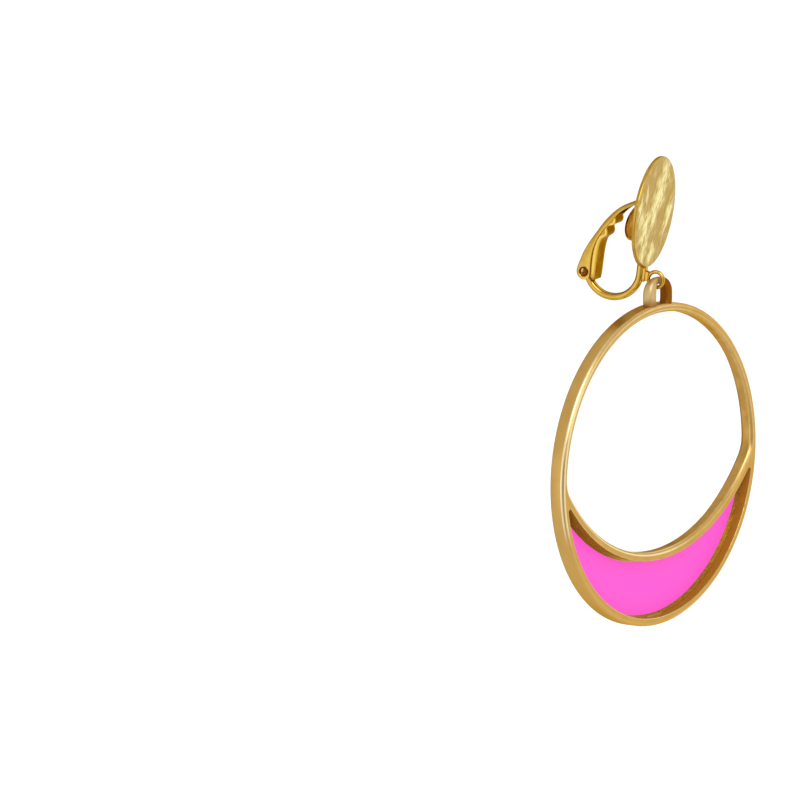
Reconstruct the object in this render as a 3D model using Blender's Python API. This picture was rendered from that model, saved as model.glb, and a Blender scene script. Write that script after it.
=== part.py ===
"""Clip-on earring: a hammered disc on a spring clip, with an oval hoop hanging from the clip's eye.

The origin is the seat on the ear pad, where the lobe is clamped. The hoop hangs plumb and faces -Y.
The clip and its disc are turned and lean a little against the hoop, as they hang in the eye.
In the clip's own frame X runs across the clip, +Y towards the lever and +Z up along the disc.
"""

import math

import bmesh
import bpy
from mathutils import Matrix, Vector

MM = 0.001

# How the clip hangs against the hoop
CLIP_TURN = math.radians(14.5)
CLIP_LEAN = math.radians(6.6)

# Hammered disc
DISC_RADIUS = 10.55 * MM
DISC_THICKNESS = 0.7 * MM
DISC_EDGE_RADIUS = 0.25 * MM
DISC_RISE = 3.65 * MM
DISC_RELIEF = 0.16 * MM

# Ear pad on the back of the disc
PAD_RADIUS = 3.45 * MM
PAD_RISE = 1.2 * MM
PAD_HEIGHT = 4.5 * MM
PAD_WALL = 2.4 * MM
PAD_BASE_GAP = 0.1 * MM
PAD_BASE_CHAMFER = 0.15 * MM

# Strap that runs in a U from the disc to the pivot
STRAP_WIDTH = 1.8 * MM
STRAP_THICKNESS = 1.35 * MM
STRAP_EDGE_RADIUS = 0.35 * MM
STRAP_RADIUS = 5.275 * MM
STRAP_CENTRE_RISE = 0.6 * MM
STRAP_END_ANGLE = math.radians(25.0)
STRAP_TOP_IN_PAD = 1.0 * MM

# Eye ring in front of the strap
EYE_RADIUS = 1.48 * MM
EYE_WIRE_RADIUS = 0.36 * MM
EYE_DROP = 2.1 * MM
EYE_NECK_GAP = 0.42 * MM
EYE_NECK_WIDTH = 1.3 * MM
EYE_NECK_HEIGHT = 2.2 * MM
EYE_NECK_EDGE_RADIUS = 0.3 * MM
EYE_NECK_TAPER = 0.8

# Pivot of the lever
PIVOT_INSET = 0.325 * MM
PIVOT_DROP = 1.05 * MM
BARREL_RADIUS = 0.75 * MM
BARREL_END_GAP = 0.15 * MM
RIVET_RADIUS = 0.4 * MM
RIVET_CLEARANCE = 0.1 * MM
RIVET_HEAD_RADIUS = 0.9 * MM
RIVET_RIM = 0.16 * MM
RIVET_DISH_DEPTH = 0.36 * MM
RIVET_PROUD = 0.06 * MM

# Lever
LEVER_WIDTH = 5.6 * MM
LEVER_WALL = 0.45 * MM
LEVER_TIP_RISE = 0.9 * MM
LEVER_TIP_GAP = 1.05 * MM
LEVER_EDGE_RADIUS = 0.35 * MM
CHEEK_RADIUS = 1.52 * MM
CHEEK_FRONT = 1.5 * MM
LEVER_SLOT_MARGIN = 0.45 * MM
LEVER_SLOT_TOP = 1.2 * MM

# Leaf spring inside the lever
LEAF_WIDTH = 3.8 * MM
LEAF_THICKNESS = 0.3 * MM

# Oval hoop
HOOP_HALF_WIDTH = 32.2 * MM
HOOP_HALF_HEIGHT = 30.55 * MM
HOOP_DEPTH = 3.1 * MM
BAND_WIDTH = 1.85 * MM
SHOULDER_RADIUS = 0.6 * MM
BACK_EDGE_RADIUS = 0.4 * MM

# Crescent cell in the hoop
CELL_RIM = 1.7 * MM
CELL_HEIGHT = 10.6 * MM
CELL_ARC_RADIUS = 39.0 * MM
BAR_WIDTH = 1.8 * MM
BAR_FILLET = 5.0 * MM
CELL_TIP_RADIUS = 0.3 * MM
CELL_EDGE_RADIUS = 0.1 * MM
CELL_LEDGE_DEPTH = 1.6 * MM
CELL_LEDGE_STEP = 0.1 * MM
ENAMEL_DEPTH = 2.45 * MM
ENAMEL_THICKNESS = 0.3 * MM
ENAMEL_GAP = 0.08 * MM

# Bail on top of the hoop
BAIL_RADIUS = 3.1 * MM
BAIL_WIDTH = 2.0 * MM
BAIL_DEPTH = 1.7 * MM
BAIL_EDGE_RADIUS = 0.3 * MM
BAIL_CROWN_WIDTH = 1.3 * MM
BAIL_FORWARD = 0.22 * MM
BAIL_ASIDE = 0.28 * MM
BAIL_SEAT = 1.25 * MM
BAIL_FOOT_ANGLE = math.radians(50.0)
BAIL_HANG = 0.12 * MM

# Facets
OVAL_STEPS = 72
ARC_STEPS = 36
FILLET_STEPS = 5
TIP_STEPS = 4
ROUND_STEPS = 3
DISC_SPOKES = 56
PAD_STEPS = 32
EYE_STEPS = 28
WIRE_STEPS = 10
STRAP_STEPS = 22
PIVOT_STEPS = 24
BAIL_STEPS = 26
LEAF_STEPS_PER_SPAN = 3
CORNER_HALVINGS = 60

# Rings of the disc's face, as shares of its flat radius
DISC_RING_SHARES = (0.12, 0.25, 0.38, 0.51, 0.63, 0.75, 0.86, 0.94, 1.0)

# Where the hammered relief starts to fade and where it ends, as shares of the disc's radius
RELIEF_FADE_SHARES = (0.80, 0.96)

# Points on the strap's straight stretch, as shares of its drop
STRAP_DROP_SHARES = (0.35, 0.70, 0.90)

# Rows round the lower end of the cheeks, in degrees below the pivot's level
CHEEK_DEGREES = (74, 60, 46, 32, 18, 6)

# Most of a channel's depth that its floor may take
FLOOR_SHARE = 0.7

# Rings of a rivet's dish, as shares of its radius
DISH_SHARES = (0.35, 0.65, 0.88)

# Lever rows from the pivot to the tip: back surface and cheek edge, each as shares of the lever's
# reach and height, and the width as a share of the lever's width
LEVER_ROW_SHARES = (
    # back_y, back_z, front_y, front_z, width
    (0.153, 0.023, -0.152, 0.023, 1.00),
    (0.134, 0.080, -0.152, 0.067, 1.00),
    (0.106, 0.143, -0.150, 0.120, 1.00),
    (0.074, 0.220, -0.151, 0.187, 1.00),
    (0.014, 0.317, -0.160, 0.273, 1.00),
    (-0.032, 0.381, -0.176, 0.343, 1.00),
    (-0.096, 0.460, -0.208, 0.423, 1.00),
    (-0.162, 0.535, -0.257, 0.499, 1.00),
    (-0.243, 0.630, -0.326, 0.590, 1.00),
    (-0.325, 0.713, -0.397, 0.671, 0.98),
    (-0.424, 0.797, -0.484, 0.755, 0.95),
    (-0.536, 0.873, -0.580, 0.828, 0.91),
    (-0.657, 0.933, -0.686, 0.885, 0.85),
    (-0.778, 0.973, -0.795, 0.926, 0.77),
    (-0.899, 0.993, -0.905, 0.950, 0.66),
    (-0.970, 0.998, -0.972, 0.960, 0.54),
    (-1.000, 0.998, -1.000, 0.966, 0.42),
)

# Leaf spring from its upper end to its lower end: middle of the strip as shares of the lever's reach
# and height, and the width as a share of the leaf's width
LEAF_ROW_SHARES = (
    # y, z, width
    (-0.493, 0.776, 0.86),
    (-0.473, 0.760, 0.96),
    (-0.478, 0.732, 1.00),
    (-0.487, 0.704, 1.00),
    (-0.480, 0.672, 1.00),
    (-0.442, 0.646, 1.00),
    (-0.388, 0.634, 1.00),
    (-0.343, 0.618, 1.00),
    (-0.326, 0.590, 1.00),
    (-0.339, 0.560, 1.00),
    (-0.346, 0.528, 1.00),
    (-0.331, 0.494, 1.00),
    (-0.286, 0.468, 1.00),
    (-0.226, 0.444, 1.00),
    (-0.176, 0.404, 1.00),
    (-0.138, 0.335, 1.00),
    (-0.114, 0.240, 1.00),
    (-0.105, 0.140, 1.00),
    (-0.105, 0.040, 1.00),
    (-0.115, -0.035, 0.97),
    (-0.138, -0.095, 0.80),
)

# Hammer marks on the disc: centre, half length and half width as shares of the disc's radius, the
# long axis in degrees from +X, and the height as a share of the relief
HAMMER_MARK_SHARES = (
    # across, up, half_long, half_wide, angle, height
    (0.02, 0.33, 0.62, 0.13, 49.0, 1.0),
    (0.42, -0.30, 0.34, 0.10, 40.0, 0.7),
    (-0.80, 0.06, 0.40, 0.12, 96.0, 0.8),
    (-0.50, -0.44, 0.38, 0.17, 62.0, 0.8),
    (-0.56, 0.46, 0.26, 0.12, 62.0, 0.6),
    (0.80, -0.30, 0.14, 0.08, 80.0, 0.6),
    (0.50, 0.14, 0.40, 0.22, 48.0, -0.8),
    (-0.34, 0.16, 0.34, 0.13, 52.0, -0.7),
    (0.08, -0.30, 0.40, 0.16, 44.0, -0.6),
    (0.30, -0.72, 0.34, 0.12, 20.0, -0.5),
    (-0.22, 0.74, 0.30, 0.12, 30.0, -0.5),
)

# Places worked out from the sizes, in the clip's own frame
DISC_BACK_Y = -PAD_HEIGHT
DISC_BOTTOM_Z = DISC_RISE - DISC_RADIUS
STRAP_FRONT_Y = DISC_BACK_Y + STRAP_THICKNESS / 2
EYE_REACH = EYE_RADIUS + EYE_WIRE_RADIUS + EYE_NECK_GAP + DISC_EDGE_RADIUS
EYE_Y = DISC_BACK_Y - EYE_REACH
EYE_Z = DISC_BOTTOM_Z - EYE_DROP
STRAP_CENTRE_Y = STRAP_FRONT_Y + STRAP_RADIUS
STRAP_CENTRE_Z = EYE_Z + STRAP_CENTRE_RISE
PIVOT_Y = STRAP_CENTRE_Y + STRAP_RADIUS - PIVOT_INSET
PIVOT_Z = STRAP_CENTRE_Z - PIVOT_DROP
LEVER_REACH = PIVOT_Y - DISC_BACK_Y - LEVER_TIP_GAP
LEVER_HEIGHT = PAD_RISE + PAD_RADIUS + LEVER_TIP_RISE - PIVOT_Z
BARREL_HALF_LENGTH = LEVER_WIDTH / 2 - LEVER_WALL - BARREL_END_GAP

# Places worked out from the sizes, in the hoop's own frame, whose origin is the swing axis
HOOP_TOP_Z = -BAIL_RADIUS - BAIL_SEAT
HOOP_CENTRE_Z = HOOP_TOP_Z - HOOP_HALF_HEIGHT
HOOP_FRONT_Y = BAIL_FORWARD - HOOP_DEPTH / 2
HOOP_BACK_Y = BAIL_FORWARD + HOOP_DEPTH / 2
ENAMEL_FRONT_Y = HOOP_FRONT_Y + ENAMEL_DEPTH
CELL_FLOOR_Y = ENAMEL_FRONT_Y + ENAMEL_THICKNESS
ARC_CENTRE_Z = HOOP_CENTRE_Z - HOOP_HALF_HEIGHT + CELL_RIM + CELL_HEIGHT + CELL_ARC_RADIUS
BAR_ARC_RADIUS = CELL_ARC_RADIUS - BAR_WIDTH


def clear_scene():
    """Removes the objects that the scene starts with."""
    for obj in list(bpy.data.objects):
        bpy.data.objects.remove(obj)


def make_material(name, colour, metallic, roughness):
    """A Principled material with one colour."""
    material = bpy.data.materials.new(name)
    material.use_nodes = True
    shader = material.node_tree.nodes["Principled BSDF"]
    shader.inputs["Base Color"].default_value = (*colour, 1.0)
    shader.inputs["Metallic"].default_value = metallic
    shader.inputs["Roughness"].default_value = roughness
    material.diffuse_color = (*colour, 1.0)
    return material


def make_empty(name, location, rotation=None, parent=None):
    """An empty that carries a sub-assembly."""
    empty = bpy.data.objects.new(name, None)
    empty.location = location
    if rotation is not None:
        empty.rotation_euler = rotation.to_euler()
    empty.parent = parent
    bpy.context.scene.collection.objects.link(empty)
    return empty


def make_object(name, bm, parent, material=None, smooth_angle=math.radians(35.0)):
    """An object from a bmesh, with its faces pointing out and its round faces smooth."""
    bmesh.ops.recalc_face_normals(bm, faces=bm.faces)
    mesh = bpy.data.meshes.new(name)
    bm.to_mesh(mesh)
    bm.free()
    mesh.shade_smooth()
    mesh.set_sharp_from_angle(angle=smooth_angle)
    if material is not None:
        mesh.materials.append(material)
    obj = bpy.data.objects.new(name, mesh)
    obj.parent = parent
    bpy.context.scene.collection.objects.link(obj)
    return obj


def combine(obj, operand, operation):
    """Joins an operand to an object, or cuts it out, and hides the operand."""
    operand.hide_render = True
    operand.display_type = "WIRE"
    modifier = obj.modifiers.new(operand.name, "BOOLEAN")
    modifier.object = operand
    modifier.operation = operation
    modifier.solver = "EXACT"


def add_ring(bm, points):
    """Vertices at the points, in order."""
    return [bm.verts.new(point) for point in points]


def bridge_rings(bm, first, second, closed=True):
    """A band of faces between two rings of as many vertices."""
    count = len(first)
    for i in range(count if closed else count - 1):
        j = (i + 1) % count
        bm.faces.new((first[i], first[j], second[j], second[i]))


def ring_edges(bm, ring):
    """The edges that run round a ring."""
    pairs = zip(ring, ring[1:] + ring[:1])
    return [bm.edges.get(pair) or bm.edges.new(pair) for pair in pairs]


def fill_flat(bm, rings, normal):
    """A flat face with holes, from its outer ring and the rings of its holes."""
    edges = [edge for ring in rings for edge in ring_edges(bm, ring)]
    bmesh.ops.triangle_fill(bm, use_beauty=True, edges=edges, normal=normal)


def sweep(sections):
    """A closed bmesh through sections of as many points, capped at both ends."""
    bm = bmesh.new()
    rings = [add_ring(bm, section) for section in sections]
    for first, second in zip(rings, rings[1:]):
        bridge_rings(bm, first, second)
    bm.faces.new(rings[0])
    bm.faces.new(rings[-1])
    return bm


def quarter_round(steps):
    """Pairs (along, across) that turn through a quarter circle of radius 1, from (0, 1) to (1, 0)."""
    turns = [math.pi / 2 * i / steps for i in range(steps + 1)]
    return [(math.sin(turn), math.cos(turn)) for turn in turns]


def rounded_rectangle(half_wide, half_high, radius, steps):
    """Points of a rounded rectangle, counterclockwise."""
    corners = ((1, 1, 0), (-1, 1, 90), (-1, -1, 180), (1, -1, 270))
    points = []
    for side, up, start in corners:
        centre_x = side * (half_wide - radius)
        centre_y = up * (half_high - radius)
        for i in range(steps + 1):
            turn = math.radians(start + 90 * i / steps)
            points.append((centre_x + radius * math.cos(turn), centre_y + radius * math.sin(turn)))
    return points


def smooth_line(rows, steps):
    """A smooth line through rows of numbers, with so many steps in each span."""
    points = [Vector(row) for row in rows]
    ends = [2 * points[0] - points[1]] + points + [2 * points[-1] - points[-2]]
    line = []
    for a, b, c, d in zip(ends, ends[1:], ends[2:], ends[3:]):
        slope = c - a
        bend = 2 * a - 5 * b + 4 * c - d
        twist = 3 * b - a - 3 * c + d
        for i in range(steps):
            t = i / steps
            line.append((2 * b + slope * t + bend * t**2 + twist * t**3) / 2)
    line.append(points[-1])
    return line


def line_frames(points):
    """For each point of a line in the YZ plane, its place and the direction across the line."""
    frames = []
    for i, point in enumerate(points):
        ahead = points[min(i + 1, len(points) - 1)]
        behind = points[max(i - 1, 0)]
        along = (ahead - behind).normalized()
        frames.append((point, Vector((0, -along.z, along.y))))
    return frames


def turned_body(profile, steps):
    """A body turned about the X axis, from pairs (x, radius) whose ends lie on the axis."""
    bm = bmesh.new()
    turns = [2 * math.pi * i / steps for i in range(steps)]
    first = bm.verts.new((profile[0][0], 0, 0))
    last = bm.verts.new((profile[-1][0], 0, 0))
    rings = [
        add_ring(bm, [(x, radius * math.cos(turn), radius * math.sin(turn)) for turn in turns])
        for x, radius in profile[1:-1]
    ]
    for ring, other in zip(rings, rings[1:]):
        bridge_rings(bm, ring, other)
    for pole, ring in ((first, rings[0]), (last, rings[-1])):
        for i in range(steps):
            bm.faces.new((pole, ring[i], ring[(i + 1) % steps]))
    return bm


def hammer_height(across, up):
    """Height of the disc's hammered face at a place given in shares of its radius."""
    total = 0.0
    for centre_x, centre_z, half_long, half_wide, angle, height in HAMMER_MARK_SHARES:
        turn = math.radians(angle)
        x = across - centre_x
        z = up - centre_z
        along = x * math.cos(turn) + z * math.sin(turn)
        beside = z * math.cos(turn) - x * math.sin(turn)
        total += height * math.exp(-((along / half_long) ** 2) - (beside / half_wide) ** 2)
    start, end = RELIEF_FADE_SHARES
    faded = (math.hypot(across, up) - start) / (end - start)
    return DISC_RELIEF * total * (1 - min(1.0, max(0.0, faded)))


def make_disc(clip, material):
    """Round disc with a hammered face, rounded at its front edge."""
    bm = bmesh.new()
    turns = [2 * math.pi * i / DISC_SPOKES for i in range(DISC_SPOKES)]
    front_y = DISC_BACK_Y - DISC_THICKNESS
    flat_radius = DISC_RADIUS - DISC_EDGE_RADIUS

    def ring(radius, y):
        return [(radius * math.cos(turn), y, DISC_RISE + radius * math.sin(turn)) for turn in turns]

    def hammered(radius):
        points = ring(radius, front_y)
        rise = [hammer_height(x / DISC_RADIUS, (z - DISC_RISE) / DISC_RADIUS) for x, y, z in points]
        return [(x, y - height, z) for (x, y, z), height in zip(points, rise)]

    rings = [add_ring(bm, hammered(flat_radius * share)) for share in DISC_RING_SHARES]
    for along, across in quarter_round(ROUND_STEPS)[1:]:
        radius = flat_radius + DISC_EDGE_RADIUS * along
        rings.append(add_ring(bm, ring(radius, front_y + DISC_EDGE_RADIUS * (1 - across))))
    rings.append(add_ring(bm, ring(DISC_RADIUS, DISC_BACK_Y)))
    for first, second in zip(rings, rings[1:]):
        bridge_rings(bm, first, second)
    middle = bm.verts.new((0, front_y - hammer_height(0, 0), DISC_RISE))
    for i in range(DISC_SPOKES):
        bm.faces.new((middle, rings[0][i], rings[0][(i + 1) % DISC_SPOKES]))
    bm.faces.new(rings[-1])
    return make_object("hammered_disc", bm, clip, material)


def strap_line():
    """Middle line of the strap, from inside the pad round the U to the pivot."""
    points = [Vector((0, STRAP_FRONT_Y, STRAP_TOP_IN_PAD))]
    drop = STRAP_TOP_IN_PAD - STRAP_CENTRE_Z
    for share in STRAP_DROP_SHARES:
        points.append(Vector((0, STRAP_FRONT_Y, STRAP_TOP_IN_PAD - drop * share)))
    for i in range(STRAP_STEPS + 1):
        turn = math.pi + (math.pi - STRAP_END_ANGLE) * i / STRAP_STEPS
        y = STRAP_CENTRE_Y + STRAP_RADIUS * math.cos(turn)
        z = STRAP_CENTRE_Z + STRAP_RADIUS * math.sin(turn)
        points.append(Vector((0, y, z)))
    points.append(Vector((0, PIVOT_Y, PIVOT_Z)))
    return points


def make_strap(clip, material):
    """U-shaped strap with rounded edges."""
    outline = rounded_rectangle(STRAP_WIDTH / 2, STRAP_THICKNESS / 2, STRAP_EDGE_RADIUS, 2)
    sections = [
        [point + Vector((x, 0, 0)) + across * height for x, height in outline]
        for point, across in line_frames(strap_line())
    ]
    return make_object("clip_frame", sweep(sections), clip, material)


def make_pad(clip):
    """Domed pad that the ear rests on; its dome droops from the wall to its top."""
    base_y = DISC_BACK_Y + PAD_BASE_GAP
    dome_y = base_y + PAD_WALL
    profile = [(base_y, 0), (base_y, PAD_RADIUS - PAD_BASE_CHAMFER), (base_y + PAD_BASE_CHAMFER, PAD_RADIUS)]
    steps = 2 * ROUND_STEPS
    for along, across in quarter_round(steps)[:-1]:
        profile.append((dome_y - dome_y * along, PAD_RADIUS * across))
    profile.append((0.0, 0))
    bm = turned_body(profile, PAD_STEPS)
    bmesh.ops.transform(bm, matrix=Matrix.Rotation(math.pi / 2, 4, "Z"), verts=bm.verts)
    for vert in bm.verts:
        vert.co.z += PAD_RISE * min(1.0, vert.co.y / dome_y)
    return make_object("pad_form", bm, clip)


def make_eye(clip):
    """Eye ring that stands in front of the strap, in the clip's middle plane."""
    bm = bmesh.new()
    rings = []
    for i in range(EYE_STEPS):
        turn = 2 * math.pi * i / EYE_STEPS
        outward = Vector((0, math.cos(turn), math.sin(turn)))
        section = []
        for j in range(WIRE_STEPS):
            roll = 2 * math.pi * j / WIRE_STEPS
            radius = EYE_RADIUS + EYE_WIRE_RADIUS * math.cos(roll)
            section.append(outward * radius + Vector((EYE_WIRE_RADIUS * math.sin(roll), EYE_Y, EYE_Z)))
        rings.append(add_ring(bm, section))
    for first, second in zip(rings, rings[1:] + rings[:1]):
        bridge_rings(bm, first, second)
    return make_object("eye_form", bm, clip)


def make_eye_neck(clip):
    """Short neck that joins the eye ring to the strap and narrows towards the ring."""
    outline = rounded_rectangle(EYE_NECK_WIDTH / 2, EYE_NECK_HEIGHT / 2, EYE_NECK_EDGE_RADIUS, 2)
    ends = ((EYE_Y + EYE_RADIUS, EYE_NECK_TAPER), (STRAP_FRONT_Y, 1.0))
    sections = [[Vector((x * share, y, EYE_Z + z * share)) for x, z in outline] for y, share in ends]
    return make_object("neck_form", sweep(sections), clip)


def make_cross_cylinder(name, clip, radius, half_length):
    """Cylinder across the clip on the pivot's axis."""
    profile = [(-half_length, 0), (-half_length, radius), (half_length, radius), (half_length, 0)]
    bm = turned_body(profile, PIVOT_STEPS)
    bmesh.ops.translate(bm, vec=(0, PIVOT_Y, PIVOT_Z), verts=bm.verts)
    return make_object(name, bm, clip)


def make_clip_frame(clip, material):
    """Strap, pad, eye and barrel, soldered into one."""
    frame = make_strap(clip, material)
    combine(frame, make_cross_cylinder("barrel_form", clip, BARREL_RADIUS, BARREL_HALF_LENGTH), "UNION")
    combine(frame, make_pad(clip), "UNION")
    combine(frame, make_eye_neck(clip), "UNION")
    combine(frame, make_eye(clip), "UNION")
    bore = RIVET_RADIUS + RIVET_CLEARANCE
    combine(frame, make_cross_cylinder("barrel_bore", clip, bore, LEVER_WIDTH), "DIFFERENCE")
    return frame


def channel_section(back, front, half_width):
    """Section of the lever's channel between a point on its back and one on the cheeks' edges."""
    inward = (front - back).normalized()
    depth = (front - back).length
    radius = min(LEVER_EDGE_RADIUS, depth / 2)
    outline = [(-half_width, depth)]
    for along, across in quarter_round(ROUND_STEPS):
        outline.append((-half_width + radius * (1 - across), radius * (1 - along)))
    for along, across in reversed(quarter_round(ROUND_STEPS)):
        outline.append((half_width - radius * (1 - across), radius * (1 - along)))
    inside = half_width - LEVER_WALL
    floor = min(LEVER_WALL, depth * FLOOR_SHARE)
    outline += [(half_width, depth), (inside, depth), (inside, floor), (-inside, floor), (-inside, depth)]
    return [back + Vector((x, 0, 0)) + inward * height for x, height in outline]


def make_lever(pivot, material):
    """Channel-shaped paddle whose cheeks end round about the pivot."""
    half_width = LEVER_WIDTH / 2
    sections = []
    for degrees in CHEEK_DEGREES:
        turn = math.radians(degrees)
        half_chord = CHEEK_RADIUS * math.cos(turn)
        z = -CHEEK_RADIUS * math.sin(turn)
        back = Vector((0, half_chord, z))
        front = Vector((0, -min(half_chord, CHEEK_FRONT), z))
        sections.append(channel_section(back, front, half_width))
    for back_y, back_z, front_y, front_z, width in LEVER_ROW_SHARES:
        back = Vector((0, back_y * LEVER_REACH, back_z * LEVER_HEIGHT))
        front = Vector((0, front_y * LEVER_REACH, front_z * LEVER_HEIGHT))
        sections.append(channel_section(back, front, half_width * width))
    lever = make_object("clip_lever", sweep(sections), pivot, material)

    slot_half = STRAP_WIDTH / 2 + LEVER_SLOT_MARGIN
    slot_low = -2 * CHEEK_RADIUS
    slot = bmesh.new()
    bmesh.ops.create_cube(slot, size=1.0)
    size = (2 * slot_half, 4 * CHEEK_RADIUS, LEVER_SLOT_TOP - slot_low)
    bmesh.ops.scale(slot, vec=size, verts=slot.verts)
    bmesh.ops.translate(slot, vec=(0, 0, (LEVER_SLOT_TOP + slot_low) / 2), verts=slot.verts)
    combine(lever, make_object("strap_slot", slot, pivot), "DIFFERENCE")

    radius = RIVET_HEAD_RADIUS + RIVET_CLEARANCE
    profile = [(-LEVER_WIDTH, 0), (-LEVER_WIDTH, radius), (LEVER_WIDTH, radius), (LEVER_WIDTH, 0)]
    combine(lever, make_object("cheek_bore", turned_body(profile, PIVOT_STEPS), pivot), "DIFFERENCE")
    return lever


def make_leaf(pivot, material):
    """Spring strip with two rounded grip humps."""
    sections = []
    rows = smooth_line(LEAF_ROW_SHARES, LEAF_STEPS_PER_SPAN)
    points = [Vector((0, row[0] * LEVER_REACH, row[1] * LEVER_HEIGHT)) for row in rows]
    for (point, across), row in zip(line_frames(points), rows):
        half_width = LEAF_WIDTH / 2 * row[2]
        half_thick = LEAF_THICKNESS / 2
        corners = ((-1, -1), (1, -1), (1, 1), (-1, 1))
        sections.append(
            [point + Vector((x * half_width, 0, 0)) + across * (side * half_thick) for x, side in corners]
        )
    return make_object("leaf_spring", sweep(sections), pivot, material)


def make_rivet(pivot, material):
    """Rivet with a dished head in each cheek."""
    outer = LEVER_WIDTH / 2 + RIVET_PROUD
    inner = LEVER_WIDTH / 2 - LEVER_WALL
    rim = RIVET_HEAD_RADIUS - RIVET_RIM
    half = [(outer - RIVET_DISH_DEPTH, 0)]
    half += [(outer - RIVET_DISH_DEPTH * (1 - share**2), rim * share) for share in DISH_SHARES]
    half += [(outer, rim), (outer, RIVET_HEAD_RADIUS - RIVET_RIM / 4)]
    half += [(outer - RIVET_RIM / 3, RIVET_HEAD_RADIUS), (inner, RIVET_HEAD_RADIUS), (inner, RIVET_RADIUS)]
    profile = half + [(-x, radius) for x, radius in reversed(half)]
    return make_object("pivot_rivet", turned_body(profile, PIVOT_STEPS), pivot, material)


def oval_point(turn, inset):
    """Point of the hoop's oval outline, moved in by a distance, with its inward normal."""
    x = HOOP_HALF_WIDTH * math.cos(turn)
    z = HOOP_HALF_HEIGHT * math.sin(turn)
    outward = Vector((HOOP_HALF_HEIGHT * math.cos(turn), 0, HOOP_HALF_WIDTH * math.sin(turn)))
    return Vector((x, 0, HOOP_CENTRE_Z + z)) - outward.normalized() * inset


def corner_turn(inset, arc_radius):
    """Turn on the right of the oval at which its inset line meets a circle about the arc's centre."""
    centre = Vector((0, 0, ARC_CENTRE_Z))
    low, high = -math.pi / 2, math.pi / 2
    for _ in range(CORNER_HALVINGS):
        middle = (low + high) / 2
        if (oval_point(middle, inset) - centre).length > arc_radius:
            low = middle
        else:
            high = middle
    return (low + high) / 2


def arc_between(centre, start, end, radius, steps):
    """Points of a circle's arc in the XZ plane, from one direction to another the short way."""
    first = math.atan2(start.z, start.x)
    sweep_angle = (math.atan2(end.z, end.x) - first + math.pi) % (2 * math.pi) - math.pi
    turns = [first + sweep_angle * i / steps for i in range(steps + 1)]
    return [centre + radius * Vector((math.cos(turn), 0, math.sin(turn))) for turn in turns]


def mirrored(points):
    """The points mirrored in X, in reverse order."""
    return [Vector((-point.x, point.y, point.z)) for point in reversed(points)]


def at_depth(points, y):
    """The points at one depth."""
    return [Vector((point.x, y, point.z)) for point in points]


def hoop_outline(inset):
    """Outer outline of the hoop."""
    steps = OVAL_STEPS + ARC_STEPS
    return [oval_point(2 * math.pi * i / steps, inset) for i in range(steps)]


def opening_outline(grow):
    """Outline of the big opening: the oval above, the bar's arc below, with rounded corners."""
    turn = corner_turn(BAND_WIDTH + BAR_FILLET, BAR_ARC_RADIUS - BAR_FILLET)
    corner = oval_point(turn, BAND_WIDTH + BAR_FILLET)
    outward = corner - oval_point(turn, 0)
    down = corner - Vector((0, 0, ARC_CENTRE_Z))
    fillet = arc_between(corner, down, -outward, BAR_FILLET + grow, FILLET_STEPS)
    span = math.pi - 2 * turn
    top = [oval_point(turn + span * i / OVAL_STEPS, BAND_WIDTH - grow) for i in range(1, OVAL_STEPS)]
    swing = math.atan2(down.x, -down.z)
    arc = []
    for i in range(1, ARC_STEPS):
        angle = -swing + 2 * swing * i / ARC_STEPS
        radius = BAR_ARC_RADIUS + grow
        arc.append(Vector((radius * math.sin(angle), 0, ARC_CENTRE_Z - radius * math.cos(angle))))
    return fillet + top + mirrored(fillet) + arc


def cell_outline(grow):
    """Outline of the crescent cell: the oval below, the bar's lower arc above, with rounded tips."""
    turn = corner_turn(CELL_RIM + CELL_TIP_RADIUS, CELL_ARC_RADIUS + CELL_TIP_RADIUS)
    tip = oval_point(turn, CELL_RIM + CELL_TIP_RADIUS)
    outward = oval_point(turn, 0) - tip
    up = Vector((0, 0, ARC_CENTRE_Z)) - tip
    end = arc_between(tip, outward, up, CELL_TIP_RADIUS + grow, TIP_STEPS)
    swing = math.atan2(tip.x, ARC_CENTRE_Z - tip.z)
    arc = []
    for i in range(1, ARC_STEPS):
        angle = swing - 2 * swing * i / ARC_STEPS
        radius = CELL_ARC_RADIUS - grow
        arc.append(Vector((radius * math.sin(angle), 0, ARC_CENTRE_Z - radius * math.cos(angle))))
    start = -math.pi - turn
    span = math.pi + 2 * turn
    bottom = [oval_point(start + span * i / ARC_STEPS, CELL_RIM - grow) for i in range(1, ARC_STEPS)]
    return end + arc + mirrored(end) + bottom


def add_wall(bm, outline, steps):
    """Rings of an outline at each pair (grow, y), joined by bands of faces."""
    rings = [add_ring(bm, at_depth(outline(grow), y)) for grow, y in steps]
    for first, second in zip(rings, rings[1:]):
        bridge_rings(bm, first, second)
    return rings[0], rings[-1]


def front_round(radius, steps, offset=0.0):
    """Steps (grow, y) that round an edge of the hoop's front face."""
    turns = quarter_round(steps)
    return [(offset + radius * (1 - along), HOOP_FRONT_Y + radius * (1 - across)) for along, across in turns]


def back_round(radius, steps):
    """Steps (grow, y) that round an edge of the hoop's back face."""
    turns = quarter_round(steps)
    return [(radius * (1 - across), HOOP_BACK_Y - radius * (1 - along)) for along, across in turns]


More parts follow.
